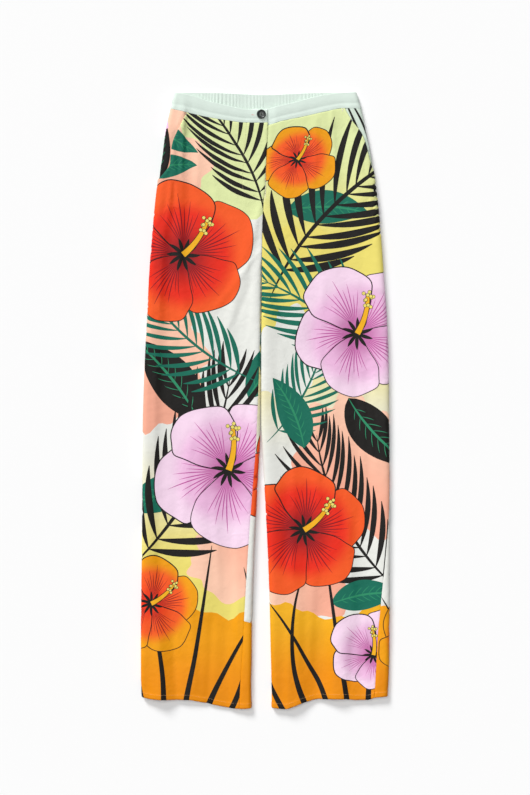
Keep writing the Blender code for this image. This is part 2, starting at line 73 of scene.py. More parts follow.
class Side(Enum):
    """The wearer's side of a piece; its value is the side of X on which it lies."""

    RIGHT = -1
    LEFT = 1

    @property
    def label(self) -> str:
        """The side's name as the pieces use it."""
        return self.name.lower()


class Face(Enum):
    """Which half of a leg's tube a panel comes from."""

    FRONT = "front"
    BACK = "back"


# ---- tables of the form


class Height(NamedTuple):
    """The tube's height at its edges and middle, and how far in its rounded roll reaches."""

    up: float
    outer: float
    inner: float
    middle: float
    reach: float


class Section(NamedTuple):
    """A leg's edges, and how far each seam lies along the cloth from them."""

    up: float
    outer: float
    inner: float
    outseam: float
    inseam: float


class Edge(NamedTuple):
    """How far the front's waist seam and its band's top lie above the side's own level."""

    x: float
    seam: float
    top: float


class Hem(NamedTuple):
    """The hem's line, and how far its upper layer stands off the lower one."""

    x: float
    rise: float
    lift: float


class Spot(NamedTuple):
    """A place on the front as it is seen from above."""

    up: float
    x: float


class Fold(NamedTuple):
    """A soft ridge, or a trough where its height is below zero, along a straight run."""

    x_high: float
    up_high: float
    x_low: float
    up_low: float
    half_width: float
    height: float


HEIGHTS = (
    Height(0, 9.0, 9.0, 4.6, 7.5),
    Height(300, 10.0, 10.0, 5.0, 8.0),
    Height(640, 11.0, 10.0, 5.4, 8.0),
    Height(782, 11.5, 10.0, 6.2, 8.5),
    Height(860, 11.5, 7.4, 6.8, 8.5),
    Height(1000, 11.0, 7.4, 7.0, 8.5),
    Height(1081, 10.0, 8.6, 8.6, 7.0),
    Height(1111, 9.6, 8.8, 8.8, 6.5),
)
ROLL_SPREAD = 34.0
FOLD_CLEAR = 14.0

RIGHT_LEG = (
    Section(0, -222.6, -24.7, -8.0, 24.5),
    Section(35, -224.2, -24.7, -8.0, 23.0),
    Section(125, -224.4, -24.0, -8.0, 18.2),
    Section(270, -222.8, -19.8, -8.0, 14.4),
    Section(400, -221.6, -14.0, -8.0, 11.0),
    Section(490, -221.2, -9.2, -8.0, 9.0),
    Section(611, -217.8, -8.0, -8.0, 5.0),
    Section(719, -212.4, -7.6, -8.0, 1.5),
    Section(782, -209.4, -7.0, -8.0, 0.0),
    Section(881, -201.6, -5.0, -8.0, 0.0),
    Section(935, -196.0, -2.6, -8.0, 0.0),
    Section(990, -186.6, -0.4, -8.0, 0.0),
    Section(1043, -179.8, 2.0, -8.0, 0.0),
    Section(1081, -171.0, 3.4, -7.0, 0.0),
    Section(1111, -164.0, 4.4, -6.0, 0.0),
)
LEFT_LEG = (
    Section(0, 220.9, 11.5, 27.0, -8.0),
    Section(35, 222.6, 11.2, 26.6, -8.0),
    Section(125, 224.0, 9.2, 24.0, -8.0),
    Section(180, 224.4, 8.0, 19.5, -8.0),
    Section(270, 224.4, 4.9, 10.5, -8.0),
    Section(370, 224.2, 0.0, 1.5, -8.0),
    Section(470, 223.8, -5.6, -4.0, -8.0),
    Section(520, 223.4, -7.4, -5.0, -7.0),
    Section(640, 222.0, -7.4, -5.0, -4.0),
    Section(719, 218.4, -7.0, -5.0, -1.5),
    Section(782, 213.8, -6.4, -5.0, 0.0),
    Section(881, 206.4, -4.4, -5.0, 0.0),
    Section(935, 200.6, -2.0, -5.0, 0.0),
    Section(990, 191.8, 0.2, -5.0, 0.0),
    Section(1043, 181.0, 2.6, -5.0, 0.0),
    Section(1081, 173.0, 4.0, -6.0, 0.0),
    Section(1111, 164.0, 5.0, -6.0, 0.0),
)
RIGHT_EDGES = (
    Edge(-171, 0.0, 0.0),
    Edge(-139, -7.5, -4.6),
    Edge(-101, -16.0, -16.5),
    Edge(-63, -22.0, -25.5),
    Edge(-36, -25.0, -31.0),
    Edge(-15, -25.2, -32.0),
    Edge(5, -25.0, -31.6),
)
LEFT_EDGES = (
    Edge(-30, -32.0, -33.0),
    Edge(-5, -31.5, -32.0),
    Edge(12, -28.0, -28.0),
    Edge(27, -23.0, -24.5),
    Edge(66, -14.8, -15.0),
    Edge(84, -10.8, -9.8),
    Edge(116, -3.5, -3.6),
    Edge(139, 0.6, -1.2),
    Edge(173, 0.0, 0.0),
)
FRONT_WAIST_REACH = 230.0
BACK_DIP = 4.0
BACK_DIP_REACH = 90.0
BACK_DIP_HALF_WIDTH = 60.0

HEM = (
    Hem(-225, 22.0, 0.0),
    Hem(-207, 18.0, 3.0),
    Hem(-185, 16.6, 4.5),
    Hem(-140, 16.0, 3.5),
    Hem(-117, 12.0, 1.6),
    Hem(-90, 5.8, 0.5),
    Hem(-66, 1.4, 0.0),
    Hem(-40, 0.0, 0.5),
    Hem(-22, 1.6, 0.0),
    Hem(0, 2.6, 0.0),
    Hem(14, 1.6, 0.0),
    Hem(36, 0.0, 0.5),
    Hem(51, 4.0, 2.0),
    Hem(72, 12.0, 4.0),
    Hem(103, 17.4, 5.0),
    Hem(144, 17.8, 3.0),
    Hem(163, 16.0, 1.6),
    Hem(185, 16.4, 2.0),
    Hem(198, 20.4, 1.6),
    Hem(222, 22.6, 0.0),
)
HEM_REACH = 110.0
BACK_HEM_RISE = 3.0

POCKET_MOUTHS = {
    Side.RIGHT: (
        Spot(938, -206.0),
        Spot(950, -195.8),
        Spot(965, -182.0),
        Spot(981, -171.4),
        Spot(1000, -170.0),
        Spot(1022, -166.1),
        Spot(1042, -157.1),
        Spot(1071, -142.7),
        Spot(1092, -134.0),
    ),
    Side.LEFT: (
        Spot(955, 207.0),
        Spot(966, 197.4),
        Spot(980, 190.6),
        Spot(994, 186.4),
        Spot(1014, 181.6),
        Spot(1035, 174.2),
        Spot(1059, 156.2),
        Spot(1084, 141.8),
        Spot(1095, 135.0),
    ),
}

# The large folds, and then the lighter creases
FOLDS = (
    Fold(-150, 1060, -157, 800, 9, 2.8),
    Fold(-134, 1040, -139, 840, 10, -0.9),
    Fold(-172, 975, -174, 905, 8, 1.8),
    Fold(-66, 1030, -34, 820, 17, 1.2),
    Fold(-24, 860, -62, 700, 11, 2.0),
    Fold(-26, 800, -30, 560, 9, -1.2),
    Fold(14, 850, 62, 690, 12, 1.8),
    Fold(156, 1050, 172, 880, 11, 2.0),
    Fold(136, 1030, 148, 760, 14, -0.9),
    Fold(62, 640, 92, 180, 20, -1.2),
    Fold(126, 700, 138, 120, 20, 2.2),
    Fold(176, 560, 170, 60, 15, -1.1),
    Fold(98, 170, 94, 0, 20, -1.8),
    Fold(95, 30, 94, 0, 20, -1.8),
    Fold(48, 230, 50, 0, 15, 2.4),
    Fold(142, 130, 146, 0, 18, 2.2),
    Fold(-110, 640, -118, 190, 20, 2.2),
    Fold(-162, 520, -158, 140, 18, -1.1),
    Fold(-62, 460, -74, 80, 14, -1.1),
    Fold(-192, 170, -187, 0, 13, 3.6),
)
CREASES = (
    Fold(-163, 1000, -158, 915, 3.2, 1.5),
    Fold(-172, 962, -180, 900, 3.0, -1.3),
    Fold(-166, 975, -172, 905, 4.5, 1.3),
    Fold(-146, 1066, -150, 985, 2.6, 1.3),
    Fold(-141, 1060, -144, 1000, 2.2, -0.8),
    Fold(-118, 1052, -124, 960, 5, 0.9),
    Fold(-96, 1046, -90, 930, 7, 0.8),
    Fold(-48, 1040, -44, 930, 6, -0.7),
    Fold(-12, 900, -30, 800, 4, 1.0),
    Fold(-20, 812, -74, 742, 5, 1.2),
    Fold(-16, 786, -58, 690, 4, -0.9),
    Fold(-14, 770, -34, 640, 4, 0.9),
    Fold(10, 815, 58, 730, 5, 1.2),
    Fold(8, 782, 40, 680, 4, -0.9),
    Fold(34, 1020, 40, 900, 7, 0.8),
    Fold(92, 1060, 88, 960, 6, 0.8),
    Fold(120, 1066, 128, 950, 4, 1.0),
    Fold(166, 1010, 184, 930, 3.4, 1.4),
    Fold(176, 985, 190, 900, 3.0, -1.0),
    Fold(186, 930, 196, 820, 6, -1.0),
    Fold(-184, 860, -192, 700, 6, 1.1),
    Fold(-150, 760, -132, 600, 8, 1.1),
    Fold(-88, 690, -80, 560, 7, -0.9),
    Fold(-196, 640, -200, 480, 6, 1.0),
    Fold(-44, 600, -40, 420, 6, 1.1),
    Fold(-136, 470, -150, 330, 8, 1.1),
    Fold(-92, 380, -84, 230, 7, 0.9),
    Fold(-194, 360, -188, 200, 7, -1.0),
    Fold(-52, 300, -50, 150, 6, 1.0),
    Fold(-136, 210, -128, 40, 8, 1.3),
    Fold(-96, 150, -104, 0, 7, -1.2),
    Fold(-62, 110, -58, 0, 7, 1.1),
    Fold(-166, 120, -160, 0, 7, -1.2),
    Fold(30, 640, 34, 480, 7, 1.0),
    Fold(92, 560, 96, 300, 9, 1.6),
    Fold(134, 570, 138, 330, 10, -1.2),
    Fold(176, 560, 178, 330, 8, 1.2),
    Fold(104, 760, 98, 620, 8, 0.9),
    Fold(160, 700, 164, 560, 7, -0.9),
    Fold(196, 620, 200, 450, 6, 1.0),
    Fold(52, 420, 48, 260, 7, 1.0),
    Fold(150, 330, 158, 180, 8, 1.1),
    Fold(88, 240, 80, 90, 8, 1.1),
    Fold(62, 170, 60, 0, 8, 1.0),
    Fold(118, 160, 124, 0, 9, 1.4),
    Fold(44, 130, 40, 0, 7, 1.2),
    Fold(158, 120, 150, 0, 7, -1.1),
    Fold(180, 150, 184, 20, 6, 1.1),
    Fold(44, 160, 46, 0, 13, 1.6),
    Fold(96, 120, 92, 0, 16, -1.2),
    Fold(130, 150, 134, 0, 13, 1.3),
    Fold(-190, 110, -188, 0, 10, 1.2),
    Fold(-160, 90, -156, 0, 12, -1.0),
)
FOLD_END = 60.0
CREASE_END = 34.0


def ease(t: Array | float) -> Array:
    """From 0 to 1, level at both ends."""
    t = np.clip(t, 0, 1)
    return t * t * (3 - 2 * t)


def falloff(away: Array | float, reach: float) -> Array:
    """1 on a line, easing to 0 at this distance from it."""
    return 1 - ease(away / reach)


def hump(offset: Array, half_width: float) -> Array:
    """A rounded hump, 1 in its middle."""
    return np.exp(-((offset / half_width) ** 2))


class Profile:
    """A smooth curve through named values, with no overshoot between them."""

    def __init__(self, table: Sequence[NamedTuple], key: str, name: str) -> None:
        """Take the values from one column of a table.

        Args:
            table: Rows in order of the key.
            key: The column that the curve is read by.
            name: The column that holds its values.
        """
        self.knots = np.array([getattr(row, key) for row in table], float)
        self.values = np.array([getattr(row, name) for row in table], float)
        self.steps = np.diff(self.knots)
        slopes = np.diff(self.values) / self.steps
        self.tangents = np.zeros(len(self.knots))
        self.tangents[[0, -1]] = slopes[[0, -1]]
        turning = slopes[:-1] * slopes[1:] <= 0
        mean = 2 * slopes[:-1] * slopes[1:] / np.where(turning, 1, slopes[:-1] + slopes[1:])
        self.tangents[1:-1] = np.where(turning, 0, mean)

    def __call__(self, at: Array | float) -> Array:
        """The curve's value at one or more places.

        Args:
            at: The places, in the key's unit.

        Returns:
            The value at each.
        """
        at = np.clip(np.asarray(at, float), self.knots[0], self.knots[-1])
        i = np.clip(np.searchsorted(self.knots, at) - 1, 0, len(self.knots) - 2)
        t = (at - self.knots[i]) / self.steps[i]
        rise = self.values[i + 1] - self.values[i]
        bend_in = (self.tangents[i] * self.steps[i] - rise) * t * (1 - t) ** 2
        bend_out = (rise - self.tangents[i + 1] * self.steps[i]) * t * t * (1 - t)
        return self.values[i] + rise * t + bend_in + bend_out


HEIGHT_OF = {name: Profile(HEIGHTS, "up", name) for name in ("outer", "inner", "middle", "reach")}
HEM_RISE = Profile(HEM, "x", "rise")
HEM_LIFT = Profile(HEM, "x", "lift")


def fold_height(x: Array, up: float, folds: Sequence[Fold], end: float) -> Array:
    """How far folds raise the upper cloth at each x of one level.

    Args:
        x: Places across the garment.
        up: The level.
        folds: The folds to add up.
        end: How far past its ends each fold fades out.

    Returns:
        The rise at each x.
    """
    total = np.zeros_like(x)
    for fold in folds:
        if not fold.up_low - end < up < fold.up_high + end:
            continue
        share = (fold.up_high - up) / (fold.up_high - fold.up_low)
        centre = fold.x_high + share * (fold.x_low - fold.x_high)
        fade = ease((fold.up_high + end - up) / end) * ease((up - fold.up_low + end) / end)
        total += fold.height * fade * hump(x - centre, fold.half_width)
    return total


def front_shift(edges: tuple[Profile, Profile], x: Array, up: float) -> Array:
    """How far the front's cloth is shifted up the garment by the hem's and the waist's lines.

    Args:
        edges: The lines of the waist seam and of the band's top.
        x: Places across the garment.
        up: The level.

    Returns:
        The shift at each x.
    """
    seam, top = (edge(x) for edge in edges)
    band = np.clip((up - WAIST_SEAM_UP) / (LENGTH - WAIST_SEAM_UP), 0, 1)
    waist = (seam + (top - seam) * band) * ease((up - WAIST_SEAM_UP) / FRONT_WAIST_REACH + 1)
    return HEM_RISE(x) * falloff(up, HEM_REACH) + waist


def back_shift(x: Array, up: float) -> Array:
    """How far the back's cloth is shifted up the garment at each x of a level."""
    dip = BACK_DIP * hump(x, BACK_DIP_HALF_WIDTH) * ease((up - WAIST_SEAM_UP) / BACK_DIP_REACH + 1)
    return (HEM_RISE(x) + BACK_HEM_RISE) * falloff(up, HEM_REACH) - dip


def ripple(at: Array, length: float, start: float = 0.0) -> Array:
    """An uneven wave from -1 to 1 with about this length, for puckers and gathers."""
    turn = 2 * math.pi * (at + start) / length
    return 0.55 * np.sin(turn) + 0.3 * np.sin(turn / 1.73 + start) + 0.15 * np.sin(turn * 1.41 + 2)


# ---- the tube of cloth

RING_PITCH = 3.0
ROLL_STEPS = 24
FLAT_STEPS = 180
UNDER_LIFT = 0.55
UNDER_LENGTH = 61.0
UNDER_BARE = 0.1
UNDER_EDGE = 6.0
UNDER_FADE = 20.0
UNDER_WAVES = ((0.86, 0.13, 0.0), (-0.10, 0.31, 17.0))


@dataclass(frozen=True)
class Ring:
    """The cloth's line round a leg at one level, outermost at distance 0 and positive over the top."""

    up: float
    along: Array
    inward: Array
    z: Array
    out_inward: Array
    out_z: Array
    height: float
    x_middle: float
    reach_of: dict[Face, float]
    middle_of: dict[Face, float]
    is_round: bool


class Tube:
    """One leg's tube of cloth and its half of the seat."""

    def __init__(self, side: Side, sections: Sequence[Section], edges: Sequence[Edge]) -> None:
        """Work out the rings of the tube.

        Args:
            side: The wearer's side.
            sections: The leg's edges and seams.
            edges: The line of the waist on this side's front.
        """
        self.side = side
        self.sign = side.value
        names = ("outer", "inner", "outseam", "inseam")
        self.lines = {name: Profile(sections, "up", name) for name in names}
        self.edges = (Profile(edges, "x", "seam"), Profile(edges, "x", "top"))
        self.ups = np.arange(0, LENGTH + RING_PITCH, RING_PITCH)
        self.rings = [self.ring(float(up)) for up in self.ups]
        self.cuts = {
            face: np.array([self.cut_at(face, ring) for ring in self.rings]) for face in Face
        }

    def read(self, name: str, up: float) -> float:
        """One of the leg's edges or seams at a level."""
        return float(self.lines[name](up))

    def x_of(self, inward: Array | float, up: float) -> Array | float:
        """The x of a place this far in from the outer edge."""
        return self.read("outer", up) - self.sign * inward

    def top(self, inward: Array, up: float, closed: float) -> Array:
        """The height of the upper cloth at places across one level.

        Args:
            inward: How far in from the outer edge each place lies.
            up: The level.
            closed: 1 on the leg, where the tube is round, and 0 on the seat.

        Returns:
            The heights.
        """
        outer, inner, middle, reach = (
            float(HEIGHT_OF[name](up)) for name in ("outer", "inner", "middle", "reach")
        )
        width = abs(self.read("inner", up) - self.read("outer", up))
        from_inner = width - inward - reach * closed
        height = middle + (outer - middle) * falloff(inward - reach, ROLL_SPREAD)
        height += (inner - middle) * falloff(from_inner, ROLL_SPREAD)
        x = self.x_of(inward, up)
        lift = HEM_LIFT(x) * falloff(up, HEM_REACH)
        share = ease((inward - reach) / FOLD_CLEAR)
        share = share * (1 - closed + closed * ease(from_inner / FOLD_CLEAR))
        folds = fold_height(x, up, FOLDS, FOLD_END) + fold_height(x, up, CREASES, CREASE_END)
        return height + share * (lift + folds)

    def under(self, inward: Array, up: float, width: float, reach: float) -> Array:
        """How far the lower cloth lifts off the floor in shallow creases across one level.

        Args:
            inward: How far in from the outer edge each place lies.
            up: The level.
            width: The leg's width there.
            reach: How far in its rolls reach.

        Returns:
            The lift at each place.
        """
        x = self.x_of(inward, up)
        first, second = (
            ripple(x * across + up * along, UNDER_LENGTH, start) for across, along, start in UNDER_WAVES
        )
        inside = ease((inward - reach - UNDER_EDGE) / UNDER_FADE)
        inside *= ease((width - reach - UNDER_EDGE - inward) / UNDER_FADE)
        return UNDER_LIFT * np.clip(first * second - UNDER_BARE, 0, 1) * inside

    def ring(self, up: float) -> Ring:
        """The cloth's line round the tube at one level, with its outward directions.

        Args:
            up: The level.

        Returns:
            The line, repeated on both sides where the tube is round.
        """
        outer, inner, reach = (float(HEIGHT_OF[name](up)) for name in ("outer", "inner", "reach"))
        closed = 1 - float(ease((up - CROTCH_UP) / CROTCH_CURVE))
        width = abs(self.read("inner", up) - self.read("outer", up))
        turn = np.linspace(0, math.pi / 2, ROLL_STEPS)
        half, inner_half = outer / 2, inner / 2
        inner_turn = turn * closed if closed > 0 else turn[:1]
        inner_start = width - reach * math.sin(inner_turn[-1])
        flat = np.linspace(reach, inner_start, FLAT_STEPS)[1:-1]
        over = self.top(flat, up, closed)
        over_end = float(self.top(np.array([inner_start]), up, closed)[0])
        below = self.under(flat, up, width, reach)

        inward_over = [reach * (1 - np.cos(turn)), flat, inner_start + reach * np.sin(inner_turn)]
        z_over = [half + half * np.sin(turn), over, over_end - inner_half * (1 - np.cos(inner_turn))]
        out_inward_over = [-np.cos(turn) / reach, -np.gradient(over, flat), np.sin(inner_turn) / reach]
        out_z_over = [np.sin(turn) / half, np.ones_like(flat), np.cos(inner_turn) / inner_half]
        z_under = [half - half * np.sin(turn), below, inner_half * (1 - np.cos(inner_turn))]
        out_inward_under = [-np.cos(turn) / reach, np.gradient(below, flat), np.sin(inner_turn) / reach]
        out_z_under = [-np.sin(turn) / half, flat * 0 - 1, -np.cos(inner_turn) / inner_half]

        def whole(under_parts: list[Array], over_parts: list[Array]) -> Array:
            """The line underneath, turned round, and then the line on top."""
            return np.concatenate([np.concatenate(under_parts)[:0:-1], *over_parts])

        inward = whole(inward_over, inward_over)
        z = whole(z_under, z_over)
        out_inward = whole(out_inward_under, out_inward_over)
        out_z = whole(out_z_under, out_z_over)
        size = np.hypot(out_inward, out_z)
        middle = len(inward) // 2
        along = np.concatenate([[0], np.cumsum(np.hypot(np.diff(inward), np.diff(z)))])
        along -= along[middle]
        reach_of = {Face.FRONT: float(along[-1]), Face.BACK: float(-along[0])}
        middle_of = {
            Face.FRONT: float(np.interp(width / 2, inward[middle:], along[middle:])),
            Face.BACK: float(np.interp(width / 2, inward[middle::-1], -along[middle::-1])),
        }
        lines = [inward, z, out_inward / size, out_z / size]
        if closed == 1:
            round_it = reach_of[Face.FRONT] + reach_of[Face.BACK]
            along = np.concatenate([along - round_it, along, along + round_it])
            lines = [np.tile(line, 3) for line in lines]
        x_middle = float(self.x_of(width / 2, up))
        return Ring(up, along, *lines, max(outer, inner), x_middle, reach_of, middle_of, closed == 1)

    def across(self, face: Face, ring: Ring, place: float) -> float:
        """Where a distance round the ring from its outermost point lies across the cut."""
        return ring.x_middle - self.sign * (place - ring.middle_of[face])

    def cut_at(self, face: Face, ring: Ring) -> tuple[float, float]:
        """Where a panel's outseam and its inseam or centre lie across the cut at a ring.

        Args:
            face: The half of the tube.
            ring: The ring.

        Returns:
            The two places.
        """
        turned = 1 if face is Face.FRONT else -1
        near = turned * self.read("outseam", ring.up) - SEAM_LAP
        far = ring.reach_of[face] - turned * self.read("inseam", ring.up) + SEAM_LAP * ring.is_round
        return self.across(face, ring, near), self.across(face, ring, far)

    def cut(self, face: Face, ups: Array) -> tuple[Array, Array]:
        """Where a panel's two seams lie across the cut at these levels, each as one array."""
        near, far = self.cuts[face].T
        return np.interp(ups, self.ups, near), np.interp(ups, self.ups, far)

    def on_ring(self, face: Face, ring: Ring, across: Array, depth: Array) -> Array:
        """Points of the cloth at places across one ring, this deep under its outer face.

        Args:
            face: The half of the tube.
            ring: The ring.
            across: The places across the cut.
            depth: How deep each lies.

        Returns:
            The points, in millimetres.
        """
        sign = 1 if face is Face.FRONT else -1
        place = sign * (ring.middle_of[face] - self.sign * (across - ring.x_middle))
        inward = np.interp(place, ring.along, ring.inward)
        z = np.interp(place, ring.along, ring.z)
        out_inward = np.interp(place, ring.along, ring.out_inward)
        out_z = np.interp(place, ring.along, ring.out_z)
        front_share = ease(z / (0.8 * ring.height))
        x = self.x_of(inward, ring.up)
        shift = front_share * front_shift(self.edges, x, ring.up)
        shift += (1 - front_share) * back_shift(x, ring.up)
        past = 0 if ring.is_round else np.maximum(place - ring.reach_of[Face.FRONT], 0)
        x = self.x_of(inward + past - out_inward * depth, ring.up)
        return np.stack([x, ring.up + shift - HALF_LENGTH, z - out_z * depth], axis=-1)

    def surface(
        self, face: Face, across: Array, up: Array, depth: Array | float = 0.0
    ) -> Array:
        """Points of the cloth at any places of its cut.

        Args:
            face: The half of the tube.
            across: The places across the cut.
            up: Their levels.
            depth: How far under the cloth's outer face they lie.

        Returns:
            One point for each place, in millimetres.
        """
        across, up, depth = (a.ravel() for a in np.broadcast_arrays(across, up, depth))
        points = np.empty((len(across), 3))
        steps = np.clip(up / RING_PITCH, 0, len(self.rings) - 1.001)
        index = steps.astype(int)
        order = np.argsort(index, kind="stable")
        starts = np.searchsorted(index[order], np.arange(len(self.rings) + 1))
        for i in range(len(self.rings) - 1):
            chosen = order[starts[i] : starts[i + 1]]
            if not len(chosen):
                continue
            low, high = (
                self.on_ring(face, ring, across[chosen], depth[chosen]) for ring in self.rings[i : i + 2]
            )
            points[chosen] = low + (steps[chosen] - i)[:, None] * (high - low)
        return points

    def across_of(self, x: float, seen_up: float) -> tuple[float, float]:
        """The place of the front's cut that is seen from above at x and a height up the garment.

        Args:
            x: The place across the garment.
            seen_up: The height at which it is seen.

        Returns:
            The place across the cut, and its level.
        """
        up = seen_up
        for _ in range(6):
            up = seen_up - float(front_shift(self.edges, np.array(x), up))
        ring = self.ring(up)
        upper = ring.along >= 0
        if ring.is_round:
            upper &= ring.along <= ring.reach_of[Face.FRONT]
        inward = self.sign * (self.read("outer", up) - x)
        place = float(np.interp(inward, ring.inward[upper], ring.along[upper]))
        return self.across(Face.FRONT, ring, place), up


# ---- the print


class Dye(Enum):
    """The print's and the plain cloths' colours."""

    MINT = "D6E4DA"
    LIME = "DBE5A6"
    YELLOW = "E6D76E"
    GOLD = "EDAE1E"
    ORANGE = "EC9C0C"
    DEEP_ORANGE = "E58A06"
    WHITE = "E3E4DE"
    PEACH = "F8C7AC"
    SALMON = "F0A990"
    LILAC = "E6B4D8"
    PALE_LILAC = "F1D3E8"
    MAGENTA = "B9559A"
    RED = "E62A16"
    SCARLET = "F25A22"
    WINE = "7E1420"
    GREEN = "136A56"
    LEAF = "2C8A63"
    INK = "1A1816"
    ROSE = "E9B8B2"
    TAN = "B4A87F"
    HONEY = "E2B481"
    AQUA = "D3E2D4"
    PALE = "F1EEE2"

    @property
    def colour(self) -> Array:
        """The colour as linear light."""
        shown = np.array([int(self.value[i : i + 2], 16) for i in (0, 2, 4)]) / 255
        return np.where(shown <= 0.04045, shown / 12.92, ((shown + 0.055) / 1.055) ** 2.4)


@dataclass(frozen=True)
class Wash:
    """A colour that runs into another over a stretch of the cloth."""

    first: Dye
    last: Dye
    origin: tuple[float, float] = (0.0, 0.0)
    run: tuple[float, float] = (0.0, 1.0)
    radial: bool = False
    edge: Dye | None = None

    def at(self, places: Array) -> Array:
        """The colour at each place of the cut.

        Args:
            places: The places.

        Returns:
            The colours, as linear light.
        """
        offset, run = places - np.array(self.origin), np.array(self.run)
        share = offset @ run / (run @ run)
        if self.radial:
            share = np.linalg.norm(offset, axis=1) / np.linalg.norm(run)
        mixed = self.first.colour + ease(share)[:, None] * (self.last.colour - self.first.colour)
        if self.edge:
            mixed += ease(2 * share - 2)[:, None] * (self.edge.colour - mixed)
        return mixed


def plain(dye: Dye) -> Wash:
    """One colour all over."""
    return Wash(dye, dye)


def heading_of(turn: Array | float) -> Array:
    """The direction at an angle in degrees from across the cloth."""
    return np.stack([np.cos(np.radians(turn)), np.sin(np.radians(turn))], axis=-1)


def sweep(start: Sequence[float], turn: float, length: float, curl: float, steps: int = 14) -> Array:
    """A line that bends evenly.

    Args:
        start: Its first point.
        turn: Its first direction, in degrees.
        length: Its length.
        curl: How far it turns along its length, in degrees.
        steps: How many points it has.

    Returns:
        The points.
    """
    turns = turn + curl * np.linspace(0, 1, steps)[:-1]
    moves = heading_of(turns) * length / (steps - 1)
    return np.concatenate([[start], np.array(start) + np.cumsum(moves, axis=0)])


def aside_of(line: Array) -> Array:
    """The direction to the left of a line at each of its points."""
    along = np.gradient(line, axis=0)
    return np.stack([-along[:, 1], along[:, 0]], axis=1) / np.linalg.norm(along, axis=1)[:, None]


def stroke(line: Array, widths: Array) -> Array:
    """The outline of a stroke with these widths along a line."""
    half = aside_of(line) * (widths[:, None] / 2)
    return np.concatenate([line + half, (line - half)[::-1]])


def tapered(steps: int, width: float, blunt: float = 0.7) -> Array:
    """Widths that swell from a point and end in one."""
    return width * np.sin(math.pi * np.linspace(0.02, 0.98, steps)) ** blunt


def petal(
    centre: Array, turn: float, length: float, width: float, bend: float, seed: float
) -> Array:
    """The outline of a broad petal with a ruffled end.

    Args:
        centre: The flower's middle.
        turn: The petal's direction, in degrees.
        length: Its length.
        width: Its greatest width.
        bend: How far it curves, in degrees.
        seed: Its ruffle's start.

    Returns:
        The outline.
    """
    share = 1 - (1 - np.linspace(0, 1, 26)) ** 1.7
    half = width / 2 * np.sin(math.pi * np.clip(share, 0.012, 1) ** 1.45) ** 0.62
    ends = []
    for way in (1, -1):
        spine = turn + bend * share**2
        ruffle = 1 + 0.05 * share * np.sin(17 * share + seed + way)
        reach = length * share * (1 + 0.03 * (1 - share**4) * np.sin(11 * share * way + seed))
        line = centre + heading_of(spine) * reach[:, None]
        ends.append(line + way * heading_of(spine + 90) * (half * ruffle)[:, None])
    return np.concatenate([ends[0], ends[1][-2:0:-1]])


def outset(outline: Array, width: float) -> Array:
    """The same outline, moved out by about this width.

    Args:
        outline: The outline.
        width: How far.

    Returns:
        The new outline.
    """
    along = np.roll(outline, -1, axis=0) - np.roll(outline, 1, axis=0)
    aside = np.stack([along[:, 1], -along[:, 0]], axis=1)
    aside /= np.maximum(np.linalg.norm(aside, axis=1), 1e-6)[:, None]
    return outline + aside * width * (-1 if area_of(outline) < 0 else 1)


def area_of(outline: Array) -> float:
    """An outline's area, below zero where it runs clockwise."""
    x, y = outline.T
    return float(0.5 * np.sum(x * np.roll(y, -1) - y * np.roll(x, -1)))


@dataclass(frozen=True)
class Bloom:
    """The colours of a flower."""

    throat: Dye
    petal: Dye
    edge: Dye
    line: Dye
    vein: Dye


PINK_BLOOM = Bloom(Dye.MAGENTA, Dye.LILAC, Dye.PALE_LILAC, Dye.INK, Dye.MAGENTA)
RED_BLOOM = Bloom(Dye.WINE, Dye.RED, Dye.SCARLET, Dye.INK, Dye.WINE)
CORAL_BLOOM = Bloom(Dye.RED, Dye.SCARLET, Dye.ORANGE, Dye.INK, Dye.WINE)
DARK_LEAF = (Dye.INK, Dye.LEAF)
GREEN_LEAF = (Dye.GREEN, Dye.LEAF)
GRASS_WIDTH = 9.5


